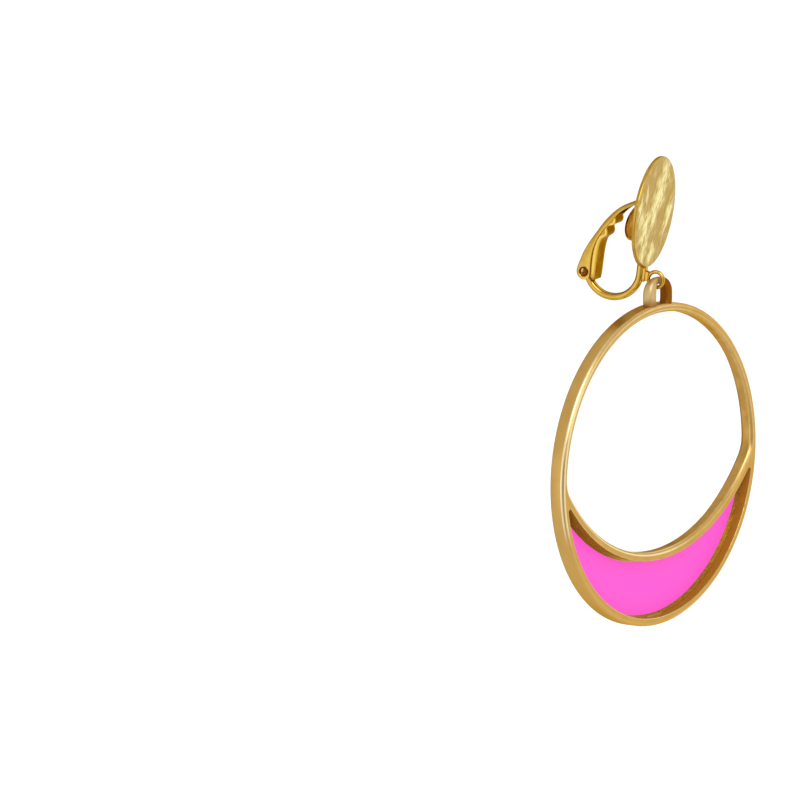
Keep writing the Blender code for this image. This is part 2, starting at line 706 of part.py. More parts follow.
def make_hoop_body(hoop, material):
    """Oval band with rounded shoulders, crossed by a bar above a crescent cell with a closed back."""
    bm = bmesh.new()
    band_steps = front_round(SHOULDER_RADIUS, ROUND_STEPS) + back_round(BACK_EDGE_RADIUS, ROUND_STEPS - 1)
    outer_front, outer_back = add_wall(bm, hoop_outline, band_steps)
    open_front, open_back = add_wall(bm, opening_outline, band_steps)
    ledge_y = HOOP_FRONT_Y + CELL_LEDGE_DEPTH
    cell_steps = front_round(CELL_EDGE_RADIUS, ROUND_STEPS - 1, CELL_LEDGE_STEP)
    cell_steps += [(CELL_LEDGE_STEP, ledge_y), (0.0, ledge_y), (0.0, CELL_FLOOR_Y)]
    cell_front, cell_floor = add_wall(bm, cell_outline, cell_steps)
    fill_flat(bm, [outer_front, open_front, cell_front], (0, -1, 0))
    fill_flat(bm, [outer_back, open_back], (0, 1, 0))
    fill_flat(bm, [cell_floor], (0, -1, 0))
    return make_object("hoop_frame", bm, hoop, material)


def make_bail(hoop):
    """Bail: most of a ring, whose feet run into the top of the hoop."""
    outline = rounded_rectangle(BAIL_WIDTH / 2, BAIL_DEPTH / 2, BAIL_EDGE_RADIUS, 2)
    sections = []
    for i in range(BAIL_STEPS + 1):
        turn = -math.pi / 2 + BAIL_FOOT_ANGLE + (2 * math.pi - 2 * BAIL_FOOT_ANGLE) * i / BAIL_STEPS
        outward = Vector((math.cos(turn), 0, math.sin(turn)))
        middle = Vector((BAIL_ASIDE, 0, -BAIL_RADIUS)) + outward * BAIL_RADIUS
        crown = max(0.0, outward.z)
        share = 1 + (BAIL_CROWN_WIDTH / BAIL_WIDTH - 1) * crown
        sections.append(
            [middle + (outward * across + Vector((0, deep, 0))) * share for across, deep in outline]
        )
    return make_object("bail_form", sweep(sections), hoop)


def make_hoop_frame(hoop, material):
    """Hoop and bail, soldered into one."""
    frame = make_hoop_body(hoop, material)
    combine(frame, make_bail(hoop), "UNION")
    return frame


def make_enamel(hoop, material):
    """Crescent of enamel on the floor of the cell."""
    bm = bmesh.new()
    front, back = add_wall(bm, cell_outline, [(-ENAMEL_GAP, ENAMEL_FRONT_Y), (-ENAMEL_GAP, CELL_FLOOR_Y)])
    fill_flat(bm, [front], (0, -1, 0))
    fill_flat(bm, [back], (0, 1, 0))
    return make_object("enamel_inlay", bm, hoop, material)


def main():
    """Builds the earring."""
    clear_scene()
    polished = make_material("polished_gold", (0.83, 0.58, 0.16), 1.0, 0.18)
    hammered = make_material("hammered_gold", (0.86, 0.66, 0.25), 1.0, 0.25)
    satin = make_material("satin_gold", (0.72, 0.47, 0.17), 1.0, 0.35)
    rivet_gold = make_material("rivet_gold", (0.78, 0.52, 0.15), 1.0, 0.25)
    leaf_gold = make_material("leaf_gold", (0.70, 0.50, 0.13), 1.0, 0.25)
    lever_gold = make_material("lever_gold", (0.80, 0.58, 0.18), 1.0, 0.2)
    pink = make_material("pink_enamel", (1.0, 0.12, 0.70), 0.0, 0.3)

    hang = Matrix.Rotation(CLIP_TURN, 3, "Z") @ Matrix.Rotation(CLIP_LEAN, 3, "X")
    clip = make_empty("clip_axes", (0, 0, 0), hang)
    pivot = make_empty("lever_pivot", (0, PIVOT_Y, PIVOT_Z), parent=clip)
    eye = hang @ Vector((0, EYE_Y, EYE_Z))
    hoop = make_empty("hoop_pivot", eye - Vector((0, BAIL_FORWARD, BAIL_HANG)))

    make_disc(clip, hammered)
    make_clip_frame(clip, polished)
    make_lever(pivot, lever_gold)
    make_leaf(pivot, leaf_gold)
    make_rivet(pivot, rivet_gold)
    make_hoop_frame(hoop, satin)
    make_enamel(hoop, pink)


main()
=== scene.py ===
"""Looks of the clip-on earring: every piece of metal remade smooth, the disc hammered, all of it dressed.

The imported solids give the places. The clip's pieces are modelled in the clip's own axes, where X runs
across the clip, +Y towards the lever and +Z up along the disc, and the hoop's in the hoop's own axes.
"""

import logging
import math
from collections.abc import Callable, Iterator
from contextlib import contextmanager
from dataclasses import dataclass
from enum import Enum

import bmesh
import bpy
from mathutils import Matrix, Vector, noise


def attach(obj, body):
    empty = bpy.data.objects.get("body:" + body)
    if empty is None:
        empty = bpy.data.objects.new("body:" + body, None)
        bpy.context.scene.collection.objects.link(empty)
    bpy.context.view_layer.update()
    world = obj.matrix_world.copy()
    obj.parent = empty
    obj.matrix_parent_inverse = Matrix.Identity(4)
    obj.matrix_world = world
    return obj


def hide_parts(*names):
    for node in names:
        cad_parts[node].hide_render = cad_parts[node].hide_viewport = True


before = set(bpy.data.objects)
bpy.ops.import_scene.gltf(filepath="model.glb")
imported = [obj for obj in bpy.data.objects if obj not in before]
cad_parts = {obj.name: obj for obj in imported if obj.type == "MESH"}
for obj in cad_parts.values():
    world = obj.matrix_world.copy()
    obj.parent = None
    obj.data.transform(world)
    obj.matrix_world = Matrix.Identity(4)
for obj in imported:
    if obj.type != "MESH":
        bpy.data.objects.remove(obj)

MM = 0.001
IMAGE_SIZE = 800

# The least radius of a turned piece, and how far apart two places still count as one
SPECK = 0.001 * MM
TOUCH = 0.01 * MM

# Angles at a crease, in radians: a square edge is sharper than the first, a chamfer's than the second
SQUARE_EDGE = 1.0
CHAMFER_EDGE = 0.5

# Steps along a swept ring, and around a turned barrel or bore
RING_STEPS = 72
LATHE_STEPS = 48

CLIP_TURN = math.radians(14.5)
CLIP_LEAN = math.radians(6.6)
CLIP_AXES = Matrix.Rotation(CLIP_TURN, 4, "Z") @ Matrix.Rotation(CLIP_LEAN, 4, "X")

# Middle of the eye and of the pivot rivet, in the clip's axes
EYE_Y = -7.01 * MM
EYE_Z = -9.0 * MM
PIVOT_Y = 6.4 * MM
PIVOT_Z = -9.45 * MM

log = logging.getLogger("earring")

Point = tuple[float, float, float]
Place = Vector | Point
Colour = tuple[float, float, float]


class Part(Enum):
    """Elements of a mesh that an open piece is selected by."""

    VERT = "VERT"
    EDGE = "EDGE"


class Zone(Enum):
    """Zones of the hoop that have their own finish, by material number."""

    SATIN = 0
    EDGE = 1
    CELL = 2
    LEDGE = 3
    WALL = 4


class Body(Enum):
    """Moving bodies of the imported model."""

    CLIP = "clip"
    LEVER = "lever"
    HOOP = "hoop"


# Modelling tools


def clamp(value: float) -> float:
    """A value kept between 0 and 1."""
    return min(1.0, max(0.0, value))


def pick(piece: bpy.types.Object) -> None:
    """Selects one piece and nothing else, and makes it the active one."""
    bpy.ops.object.select_all(action="DESELECT")
    bpy.context.view_layer.objects.active = piece
    piece.select_set(True)


@contextmanager
def editing(piece: bpy.types.Object, part: Part) -> Iterator[None]:
    """Opens a piece in edit mode and closes it again.

    Args:
        piece: The piece to edit.
        part: The kind of element that selections are made of.
    """
    pick(piece)
    bpy.ops.object.mode_set(mode="EDIT")
    bpy.ops.mesh.select_mode(type=part.value)
    yield
    bpy.ops.object.mode_set(mode="OBJECT")


def choose_edges(piece: bpy.types.Object, test: Callable[[bmesh.types.BMEdge], bool]) -> None:
    """Selects the edges of an open piece that pass a test, and nothing else.

    Args:
        piece: The piece, in edit mode.
        test: Says of one edge whether it is selected.
    """
    bpy.ops.mesh.select_all(action="DESELECT")
    mesh = bmesh.from_edit_mesh(piece.data)
    for edge in [edge for edge in mesh.edges if test(edge)]:
        edge.select_set(True)
    bmesh.update_edit_mesh(piece.data)


def choose_creases(
    piece: bpy.types.Object,
    where: Callable[[Vector], bool],
    least: float = SQUARE_EDGE,
    most: float = math.tau,
) -> None:
    """Selects the creases of an open piece, by their place and how sharp they are.

    Args:
        piece: The piece, in edit mode.
        where: Says of both ends of a crease whether they lie right.
        least: The angle between its faces is larger than this.
        most: And smaller than this.
    """
    choose_edges(
        piece,
        lambda edge: all(where(vert.co) for vert in edge.verts) and least < edge.calc_face_angle(0.0) < most,
    )


def bevel_chosen(offset: float, segments: int, zone: Zone | None = None) -> None:
    """Bevels the selected edges of an open piece.

    Args:
        offset: How far the bevel reaches from an edge.
        segments: How many faces it has across.
        zone: The zone its faces belong to; otherwise they go with the faces beside them.
    """
    material = -1 if zone is None else zone.value
    bpy.ops.mesh.bevel(
        offset=offset, segments=segments, affect="EDGES", clamp_overlap=False, material=material
    )


def move_selected(piece: bpy.types.Object, matrix: Matrix) -> None:
    """Moves the selected points of an open piece by a matrix.

    Args:
        piece: The piece, in edit mode.
        matrix: Where they go.
    """
    mesh = bmesh.from_edit_mesh(piece.data)
    points = [vert for vert in mesh.verts if vert.select]
    bmesh.ops.transform(mesh, matrix=matrix, verts=points)
    bmesh.update_edit_mesh(piece.data)


def new_outline(name: str, points: list[Point], filled: bool = False) -> bpy.types.Object:
    """A ring of points, from a circle whose points are moved into place.

    Args:
        name: Name of the piece.
        points: Places of the ring's points, in order.
        filled: Whether the ring carries a face.

    Returns:
        The new piece.
    """
    bpy.ops.object.select_all(action="DESELECT")
    fill = "NGON" if filled else "NOTHING"
    bpy.ops.mesh.primitive_circle_add(vertices=len(points), radius=MM, fill_type=fill)
    piece = bpy.context.object
    piece.name = name
    piece.data.name = name
    for vert, point in zip(piece.data.vertices, points):
        vert.co = point
    return piece


def loft(name: str, outline: list[Point], frames: list[Matrix], closed: bool = True) -> bpy.types.Object:
    """A piece drawn out from an outline through a row of frames.

    Args:
        name: Name of the piece.
        outline: The section, in the frames' own coordinates.
        frames: Where the section lies at each step.
        closed: Whether the section is a filled ring; otherwise it is an open line of edges.

    Returns:
        The new piece, with its faces pointing out.
    """
    piece = new_outline(name, [tuple(frames[0] @ Vector(point)) for point in outline], filled=closed)
    with editing(piece, Part.VERT):
        if not closed:
            last = len(outline) - 1
            choose_edges(piece, lambda edge: {vert.index for vert in edge.verts} == {0, last})
            bpy.ops.mesh.delete(type="EDGE")
        bpy.ops.mesh.select_all(action="SELECT")
        for start, end in zip(frames, frames[1:]):
            bpy.ops.mesh.extrude_region_move()
            move_selected(piece, end @ start.inverted())
        bpy.ops.mesh.select_all(action="SELECT")
        bpy.ops.mesh.normals_make_consistent(inside=False)
    return piece


def turned(name: str, profile: list[tuple[float, float]], steps: int = LATHE_STEPS) -> bpy.types.Object:
    """A piece turned about the X axis, as on a lathe.

    Args:
        name: Name of the piece.
        profile: Places along the axis with the radius there, from one end to the other. An end with
            no radius closes in a point.
        steps: Points in a ring.

    Returns:
        The new piece, with its faces pointing out.
    """
    angles = [math.tau * i / steps for i in range(steps)]
    along, radius = profile[0]
    radius = max(radius, SPECK)
    ring = [(along, radius * math.cos(angle), radius * math.sin(angle)) for angle in angles]
    piece = new_outline(name, ring)
    with editing(piece, Part.VERT):
        bpy.ops.mesh.select_all(action="SELECT")
        for next_along, next_radius in profile[1:]:
            next_radius = max(next_radius, SPECK)
            bpy.ops.mesh.extrude_region_move(TRANSFORM_OT_translate={"value": (next_along - along, 0, 0)})
            share = next_radius / radius
            bpy.ops.transform.resize(value=(1, share, share), center_override=(next_along, 0, 0))
            along, radius = next_along, next_radius
        bpy.ops.mesh.select_all(action="SELECT")
        bpy.ops.mesh.remove_doubles(threshold=3 * SPECK)
        bpy.ops.mesh.normals_make_consistent(inside=False)
    return piece


def ball_profile(radius: float, steps: int) -> list[tuple[float, float]]:
    """The profile of a ball, for the lathe."""
    angles = [math.pi * i / steps for i in range(steps + 1)]
    return [(-radius * math.cos(angle), radius * math.sin(angle)) for angle in angles]


def apply_modifier(piece: bpy.types.Object, kind: str, **settings: object) -> None:
    """Adds a modifier with its settings and applies it.

    Args:
        piece: The piece.
        kind: The modifier's type.
        settings: Its settings, by name.
    """
    modifier = piece.modifiers.new(kind.title(), kind)
    for name, value in settings.items():
        setattr(modifier, name, value)
    pick(piece)
    bpy.ops.object.modifier_apply(modifier=modifier.name)


def cut(piece: bpy.types.Object, cutter: bpy.types.Object) -> None:
    """Cuts a piece with another and throws the other away."""
    apply_modifier(piece, "BOOLEAN", object=cutter, operation="DIFFERENCE", solver="EXACT")
    bpy.data.objects.remove(cutter)


def round_edges(piece: bpy.types.Object, width: float, segments: int, angle: float = 40.0) -> None:
    """Rounds every edge sharper than an angle in degrees.

    Args:
        piece: The piece.
        width: How far the rounding reaches.
        segments: How many faces it has across.
        angle: The angle in degrees.
    """
    limit = math.radians(angle)
    apply_modifier(piece, "BEVEL", width=width, segments=segments, limit_method="ANGLE", angle_limit=limit)


def smooth(piece: bpy.types.Object, angle: float = 30.0) -> None:
    """Shades a piece smooth, apart from edges sharper than an angle in degrees."""
    pick(piece)
    bpy.ops.object.shade_smooth_by_angle(angle=math.radians(angle))


def paint(piece: bpy.types.Object, name: str, brightness: Callable[[Vector], float]) -> None:
    """Writes painted light on each point of a piece: how bright its colour is painted there.

    Args:
        piece: The piece.
        name: Name of the attribute that its finish reads.
        brightness: The value at a place; it is kept between 0 and 1.
    """
    values = piece.data.attributes.new(name, "FLOAT", "POINT").data
    for vert in piece.data.vertices:
        values[vert.index].value = clamp(brightness(vert.co))


def rounded_rectangle(half_wide: float, half_high: float, radius: float, steps: int) -> list[Point]:
    """Points of a rounded rectangle in the XY plane, counterclockwise.

    Args:
        half_wide: Half its size in X.
        half_high: Half its size in Y.
        radius: Radius of its corners.
        steps: Spans in a corner.

    Returns:
        The points.
    """
    points = []
    for side, up, start in ((1, 1, 0), (-1, 1, 90), (-1, -1, 180), (1, -1, 270)):
        for i in range(steps + 1):
            angle = math.radians(start + 90 * i / steps)
            x = side * (half_wide - radius) + radius * math.cos(angle)
            y = up * (half_high - radius) + radius * math.sin(angle)
            points.append((x, y, 0.0))
    return points


def smooth_step(before: float, start: float, end: float, after: float, t: float) -> float:
    """A number on the smooth way from start to end, with their neighbours and the share gone.

    Args:
        before: The number before start.
        start: Where the way starts.
        end: Where it ends.
        after: The number after end.
        t: The share of the way that is gone.

    Returns:
        The number there.
    """
    square = 2 * before - 5 * start + 4 * end - after
    cube = 3 * start - before - 3 * end + after
    return (2 * start + (end - before) * t + square * t**2 + cube * t**3) / 2


def smooth_rows(rows: list[tuple[float, ...]], steps: int) -> list[tuple[float, ...]]:
    """Rows of numbers with smooth steps in each span.

    Args:
        rows: The rows to pass through.
        steps: How many rows each span becomes.

    Returns:
        The finer rows, from the first to the last.
    """
    first = tuple(2 * a - b for a, b in zip(rows[0], rows[1]))
    last = tuple(2 * a - b for a, b in zip(rows[-1], rows[-2]))
    ends = [first, *rows, last]
    finer = []
    for span in zip(ends, ends[1:], ends[2:], ends[3:]):
        for i in range(steps):
            finer.append(tuple(smooth_step(*numbers, i / steps) for numbers in zip(*span)))
    finer.append(rows[-1])
    return finer


def frame_at(place: Place, across: Place, up: Place, along: Place) -> Matrix:
    """A frame at a place, from its own X, Y and Z directions."""
    return Matrix.Translation(place) @ Matrix((across, up, along)).transposed().to_4x4()


def line_frames(
    points: list[Vector], widths: list[float] | None = None, depths: list[float] | None = None
) -> list[Matrix]:
    """Frames along a line in the YZ plane: their X across the clip, their Y across the line.

    Args:
        points: The line.
        widths: How much the section is scaled in X at each point.
        depths: How much it is scaled across the line.

    Returns:
        A frame for each point.
    """
    frames = []
    for i, point in enumerate(points):
        ahead = points[min(i + 1, len(points) - 1)]
        behind = points[max(i - 1, 0)]
        along = (ahead - behind).normalized()
        width = 1.0 if widths is None else widths[i]
        depth = 1.0 if depths is None else depths[i]
        frames.append(frame_at(point, (width, 0, 0), Vector((0, -along.z, along.y)) * depth, along))
    return frames


# Shader tools


class Wire:
    """A number from a shader node that takes part in sums."""

    def __init__(self, graph: "Graph", socket: bpy.types.NodeSocket) -> None:
        """Keeps the graph and the socket."""
        self.graph = graph
        self.socket = socket

    def maths(self, operation: str, first: object, second: object) -> "Wire":
        """A Math node on two values."""
        node = self.graph.node("ShaderNodeMath", {"operation": operation}, {0: first, 1: second})
        return Wire(self.graph, node.outputs[0])

    def __add__(self, other: object) -> "Wire":
        """The sum."""
        return self.maths("ADD", self, other)

    def __radd__(self, other: object) -> "Wire":
        """The sum, from the right."""
        return self.maths("ADD", other, self)

    def __mul__(self, other: object) -> "Wire":
        """The product."""
        return self.maths("MULTIPLY", self, other)

    def __rmul__(self, other: object) -> "Wire":
        """The product, from the right."""
        return self.maths("MULTIPLY", other, self)


class Graph:
    """The nodes of one material or of the world."""

    def __init__(self, owner: bpy.types.Material | bpy.types.World) -> None:
        """Starts an empty node tree."""
        owner.use_nodes = True
        self.tree = owner.node_tree
        self.tree.nodes.clear()

    def node(self, kind: str, settings: dict[str, object], sockets: dict[object, object]) -> bpy.types.Node:
        """Adds a node.

        Args:
            kind: The node's type.
            settings: Its settings, set first.
            sockets: Values or links of its inputs, by name or number.

        Returns:
            The node.
        """
        made = self.tree.nodes.new(kind)
        for name, value in settings.items():
            setattr(made, name, value)
        for name, value in sockets.items():
            if isinstance(value, Wire):
                self.tree.links.new(value.socket, made.inputs[name])
            elif isinstance(value, bpy.types.NodeSocket):
                self.tree.links.new(value, made.inputs[name])
            else:
                made.inputs[name].default_value = value
        return made

    def places(self) -> bpy.types.NodeSocket:
        """The object's own coordinates."""
        return self.node("ShaderNodeTexCoord", {}, {}).outputs["Object"]

    def grain(self, places: object, scale: float, detail: float = 3.0, roughness: float = 0.5) -> Wire:
        """Noise from 0 to 1 at a scale in grains a metre.

        Args:
            places: The coordinates it is read at.
            scale: Grains in a metre.
            detail: How many finer layers it has.
            roughness: How strong they are.

        Returns:
            The noise.
        """
        sockets = {"Vector": places, "Scale": scale, "Detail": detail, "Roughness": roughness}
        return Wire(self, self.node("ShaderNodeTexNoise", {}, sockets).outputs["Fac"])

    def between(self, share: Wire, low: Colour, high: Colour) -> bpy.types.NodeSocket:
        """A colour between two, by a share.

        Args:
            share: 0 for the first colour, 1 for the second.
            low: The first.
            high: The second.

        Returns:
            The colour.
        """
        mix = self.node("ShaderNodeMix", {"data_type": "RGBA"}, {0: share, 6: (*low, 1), 7: (*high, 1)})
        return mix.outputs[2]

    def span(self, value: Wire, low: float, high: float, to_low: float = 0.0, to_high: float = 1.0) -> Wire:
        """A value brought from one range to another, kept within it.

        Args:
            value: The value.
            low: Start of its range.
            high: End of its range.
            to_low: Start of the new range.
            to_high: End of the new range.

        Returns:
            The new value.
        """
        sockets = {"Value": value, "From Min": low, "From Max": high, "To Min": to_low, "To Max": to_high}
        node = self.node("ShaderNodeMapRange", {"clamp": True}, sockets)
        return Wire(self, node.outputs["Result"])

    def surface(self, sockets: dict[object, object]) -> None:
        """Ends a material with a Principled shader that has these values and links."""
        shader = self.node("ShaderNodeBsdfPrincipled", {}, sockets)
        self.node("ShaderNodeOutputMaterial", {}, {"Surface": shader.outputs[0]})


# Finishes


@dataclass(frozen=True)
class GoldFinish:
    """Gold plating over a surface of some smoothness."""

    name: str
    colour: Colour
    deep_colour: Colour
    roughness: float
    mottle_scale: float
    grain_scale: float
    grain_depth: float
    roughness_change: float = 0.1
    metallic: float = 1.0
    edge_tint: Colour = (0.9, 0.68, 0.35)
    detail: float = 4.0
    grain_roughness: float = 0.6
    mottle_low: float = 0.35
    mottle_high: float = 0.65
    rough_low: float = 0.3
    rough_high: float = 0.7

    def material(self) -> bpy.types.Material:
        """The finish as a material."""
        made = bpy.data.materials.new(self.name)
        graph = Graph(made)
        places = graph.places()
        mottle = graph.grain(places, self.mottle_scale, self.detail)
        rougher = self.roughness + self.roughness_change
        self.cover(
            graph,
            graph.span(mottle, self.mottle_low, self.mottle_high),
            graph.span(mottle, self.rough_low, self.rough_high, self.roughness, rougher),
            graph.grain(places, self.grain_scale, self.detail, self.grain_roughness),
        )
        return made

    def cover(self, graph: Graph, share: Wire, roughness: Wire, fine: Wire) -> None:
        """Ends the material.

        Args:
            graph: The material's nodes.
            share: How far its colour is from the deep one.
            roughness: How rough it is.
            fine: The grain that its bump follows.
        """
        sockets = {"Strength": 1.0, "Distance": self.grain_depth, "Height": fine}
        bump = graph.node("ShaderNodeBump", {}, sockets)
        graph.surface(
            {
                "Base Color": graph.between(share, self.deep_colour, self.colour),
                "Metallic": self.metallic,
                "Specular Tint": (*self.edge_tint, 1),
                "Roughness": roughness,
                "Normal": bump.outputs[0],
            }
        )


@dataclass(frozen=True)
class PaintedLightFinish(GoldFinish):
    """Gold with painted light: an attribute of its points paints it bright where a highlight falls and deep
    where shade falls.
    """

    painted: str = "painted_light"
    detail: float = 3.0
    mottle_low: float = 0.3
    mottle_high: float = 0.7
    mottle_change: float = 0.12
    lit_low: float = 0.05
    lit_high: float = 0.95

    def material(self) -> bpy.types.Material:
        """The finish as a material."""
        made = bpy.data.materials.new(self.name)
        graph = Graph(made)
        places = graph.places()
        lit_share = graph.node("ShaderNodeAttribute", {"attribute_name": self.painted}, {}).outputs["Fac"]
        mottle = graph.grain(places, self.mottle_scale, self.detail)
        reach = self.mottle_change
        change = graph.span(mottle, self.mottle_low, self.mottle_high, -reach, reach)
        # The attribute holds painted light: painted highlight towards the bright colour, painted shade
        # towards the deep one.
        share = graph.span(Wire(graph, lit_share) + change, self.lit_low, self.lit_high)
        self.cover(
            graph,
            share,
            graph.span(share, 0.0, 1.0, self.roughness + self.roughness_change, self.roughness),
            graph.grain(places, self.grain_scale, self.detail, self.grain_roughness),
        )
        return made


@dataclass(frozen=True)
class EnamelFinish:
    """Opaque coloured enamel with a painted glow: it emits its own colour though it is no lamp, so it looks
    evenly lit.
    """

    name: str
    colour: Colour
    deep_colour: Colour
    roughness: float
    glow: float
    roughness_change: float = 0.06
    mottle_scale: float = 300.0
    mottle_low: float = 0.3
    mottle_high: float = 0.7
    gloss: float = 0.15

    def material(self) -> bpy.types.Material:
        """The finish as a material."""
        made = bpy.data.materials.new(self.name)
        graph = Graph(made)
        share = graph.span(graph.grain(graph.places(), self.mottle_scale), self.mottle_low, self.mottle_high)
        colour = graph.between(share, self.deep_colour, self.colour)
        rougher = self.roughness + self.roughness_change
        graph.surface(
            {
                "Base Color": colour,
                "Roughness": graph.span(share, 0.0, 1.0, self.roughness, rougher),
                # Painted glow: the enamel emits its own colour.
                "Specular IOR Level": self.gloss,
                "Emission Color": colour,
                "Emission Strength": self.glow,
            }
        )
        return made


@dataclass(frozen=True)
class Finishes:
    """All the finishes of the earring."""

    # Its deep colour is painted shade and its bright colour painted highlight, by the disc's painted light.
    hammered: PaintedLightFinish = PaintedLightFinish(
        "hammered gold with painted highlights",
        colour=(1.0, 0.89, 0.40),
        deep_colour=(0.51, 0.33, 0.045),
        roughness=0.22,
        mottle_scale=600.0,
        grain_scale=3000.0,
        grain_depth=0.006 * MM,
        edge_tint=(1.0, 0.97, 0.88),
    )
    rim: GoldFinish = GoldFinish(
        "rim gold",
        colour=(0.66, 0.40, 0.07),
        deep_colour=(0.54, 0.29, 0.04),
        roughness=0.24,
        mottle_scale=500.0,
        grain_scale=6000.0,
        grain_depth=0.003 * MM,
    )
    # Painted highlight on the pad's dome, painted shade towards its base.
    pad: PaintedLightFinish = PaintedLightFinish(
        "pad gold with painted light",
        colour=(1.0, 0.74, 0.22),
        deep_colour=(0.47, 0.2, 0.015),
        roughness=0.16,
        roughness_change=0.08,
        mottle_scale=700.0,
        grain_scale=4000.0,
        grain_depth=0.006 * MM,
    )
    solder: GoldFinish = GoldFinish(
        "solder gold",
        colour=(0.62, 0.34, 0.05),
        deep_colour=(0.40, 0.16, 0.02),
        roughness=0.25,
        mottle_scale=900.0,
        grain_scale=5000.0,
        grain_depth=0.006 * MM,
    )
    # Painted shade in the dishes of the rivet's heads.
    dish: GoldFinish = GoldFinish(
        "dish gold with painted shade",
        colour=(0.26, 0.08, 0.01),
        deep_colour=(0.14, 0.03, 0.004),
        roughness=0.25,
        mottle_scale=900.0,
        grain_scale=9000.0,
        grain_depth=0.006 * MM,
    )
    polished: GoldFinish = GoldFinish(
        "polished gold",
        colour=(0.71, 0.455, 0.085),
        deep_colour=(0.62, 0.365, 0.055),
        roughness=0.15,
        roughness_change=0.06,
        mottle_scale=400.0,
        grain_scale=5000.0,
        grain_depth=0.001 * MM,
    )
    lever: PaintedLightFinish = PaintedLightFinish(
        "lever gold with painted highlights",
        colour=(0.71, 0.49, 0.10),
        deep_colour=(0.40, 0.205, 0.018),
        roughness=0.2,
        mottle_scale=400.0,
        grain_scale=5000.0,
        grain_depth=0.002 * MM,
    )
    # Its deep colour is painted shade, on the grip humps and between them.
    leaf: PaintedLightFinish = PaintedLightFinish(
        "leaf gold with painted shade",
        colour=(0.80, 0.54, 0.11),
        deep_colour=(0.22, 0.075, 0.008),
        roughness=0.2,
        mottle_scale=500.0,
        grain_scale=5000.0,
        grain_depth=0.002 * MM,
    )
    rivet: GoldFinish = GoldFinish(
        "rivet gold",
        colour=(0.80, 0.56, 0.17),
        deep_colour=(0.62, 0.38, 0.08),
        roughness=0.2,
        mottle_scale=800.0,
        grain_scale=9000.0,
        grain_depth=0.002 * MM,
    )
    satin: GoldFinish = GoldFinish(
        "satin gold",
        colour=(0.71, 0.445, 0.135),
        deep_colour=(0.65, 0.395, 0.105),
        roughness=0.28,
        mottle_scale=250.0,
        grain_scale=8000.0,
        grain_depth=0.004 * MM,
    )
    # A darker copy of the band's gold on the opening's inner wall: painted shade.
    wall: GoldFinish = GoldFinish(
        "wall gold with painted shade",
        colour=(0.66, 0.40, 0.115),
        deep_colour=(0.52, 0.28, 0.06),
        roughness=0.3,
        mottle_scale=350.0,
        grain_scale=8000.0,
        grain_depth=0.004 * MM,
    )
    # Painted highlight on the small front bevels, its strength varying by place and dimmer at the top.
    edge: PaintedLightFinish = PaintedLightFinish(
        "edge highlight gold",
        colour=(0.94, 0.80, 0.48),
        deep_colour=(0.68, 0.42, 0.12),
        roughness=0.3,
        roughness_change=0.0,
        mottle_scale=700.0,
        grain_scale=9000.0,
        grain_depth=0.001 * MM,
        painted="painted_highlight",
    )
    # Its deep colour is painted shade, on the right arm's inside and at the foot.
    bail: PaintedLightFinish = PaintedLightFinish(
        "bail gold with painted light",
        colour=(0.70, 0.52, 0.235),
        deep_colour=(0.32, 0.11, 0.01),
        roughness=0.5,
        roughness_change=0.08,
        mottle_scale=700.0,
        grain_scale=2000.0,
        grain_depth=0.02 * MM,
    )
    # Painted shade in the crescent cell, darker and less metallic than the band, with painted light brighter
    # to the right on its upper wall.
    cell: PaintedLightFinish = PaintedLightFinish(
        "cell gold with painted shade",
        colour=(0.72, 0.46, 0.12),
        deep_colour=(0.43, 0.175, 0.02),
        roughness=0.45,
        mottle_scale=400.0,
        grain_scale=8000.0,
        grain_depth=0.004 * MM,
        metallic=0.3,
    )
    ledge: GoldFinish = GoldFinish(
        "ledge gold",
        colour=(0.62, 0.42, 0.10),
        deep_colour=(0.40, 0.24, 0.05),
        roughness=0.35,
        mottle_scale=1500.0,
        grain_scale=8000.0,
        grain_depth=0.02 * MM,
        metallic=0.7,
    )
    enamel: EnamelFinish = EnamelFinish(
        "pink enamel with painted glow",
        colour=(0.42, 0.042, 0.262),
        deep_colour=(0.41, 0.041, 0.256),
        roughness=0.45,
        # Painted glow, which flattens the enamel's shading.
        glow=1.4,
    )


def dress(
    piece: bpy.types.Object, finish: GoldFinish | EnamelFinish, body: Body, node: str
) -> None:
    """Gives a piece its finish and its body, and lets it stand for a node.

    Args:
        piece: The finished mesh, in place.
        finish: The finish it gets.
        body: The body it moves with.
        node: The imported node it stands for.
    """
    material = bpy.data.materials.get(finish.name) or finish.material()
    if piece.data.materials:
        piece.data.materials[0] = material
    else:
        piece.data.materials.append(material)
    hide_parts(node)
    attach(piece, body.value)
    log.info("%s: %d points", piece.name, len(piece.data.vertices))


def second_finish(piece: bpy.types.Object, faces: list[int], finish: GoldFinish) -> None:
    """Gives some faces of a dressed piece another finish, by their numbers.

    Args:
        piece: The piece.
        faces: Numbers of the faces.
        finish: Their finish.
    """
    piece.data.materials.append(finish.material())
    for number in faces:
        piece.data.polygons[number].material_index = len(piece.data.materials) - 1


# Sub-assemblies


@dataclass(frozen=True)
class Streak:
    """A long raised hammer mark on the disc, with a painted highlight along it, in shares of its radius."""

    across: float
    up: float
    half_long: float
    half_wide: float
    degrees: float
    height: float
    pits: float
    end_power: int = 4
    side_fall: float = 1.3

    def share(self, across: float, up: float) -> float:
        """How far inside the streak a place lies, from 0 outside to 1 on its crest.

        Args:
            across: Place to the right of the disc's middle.
            up: Place above it.

        Returns:
            The share.
        """
        angle = math.radians(self.degrees)
        x = across - self.across
        z = up - self.up
        along = (x * math.cos(angle) + z * math.sin(angle)) / self.half_long
        beside = (z * math.cos(angle) - x * math.sin(angle)) / self.half_wide
        return math.exp(-(along**self.end_power) - self.side_fall * beside**2)


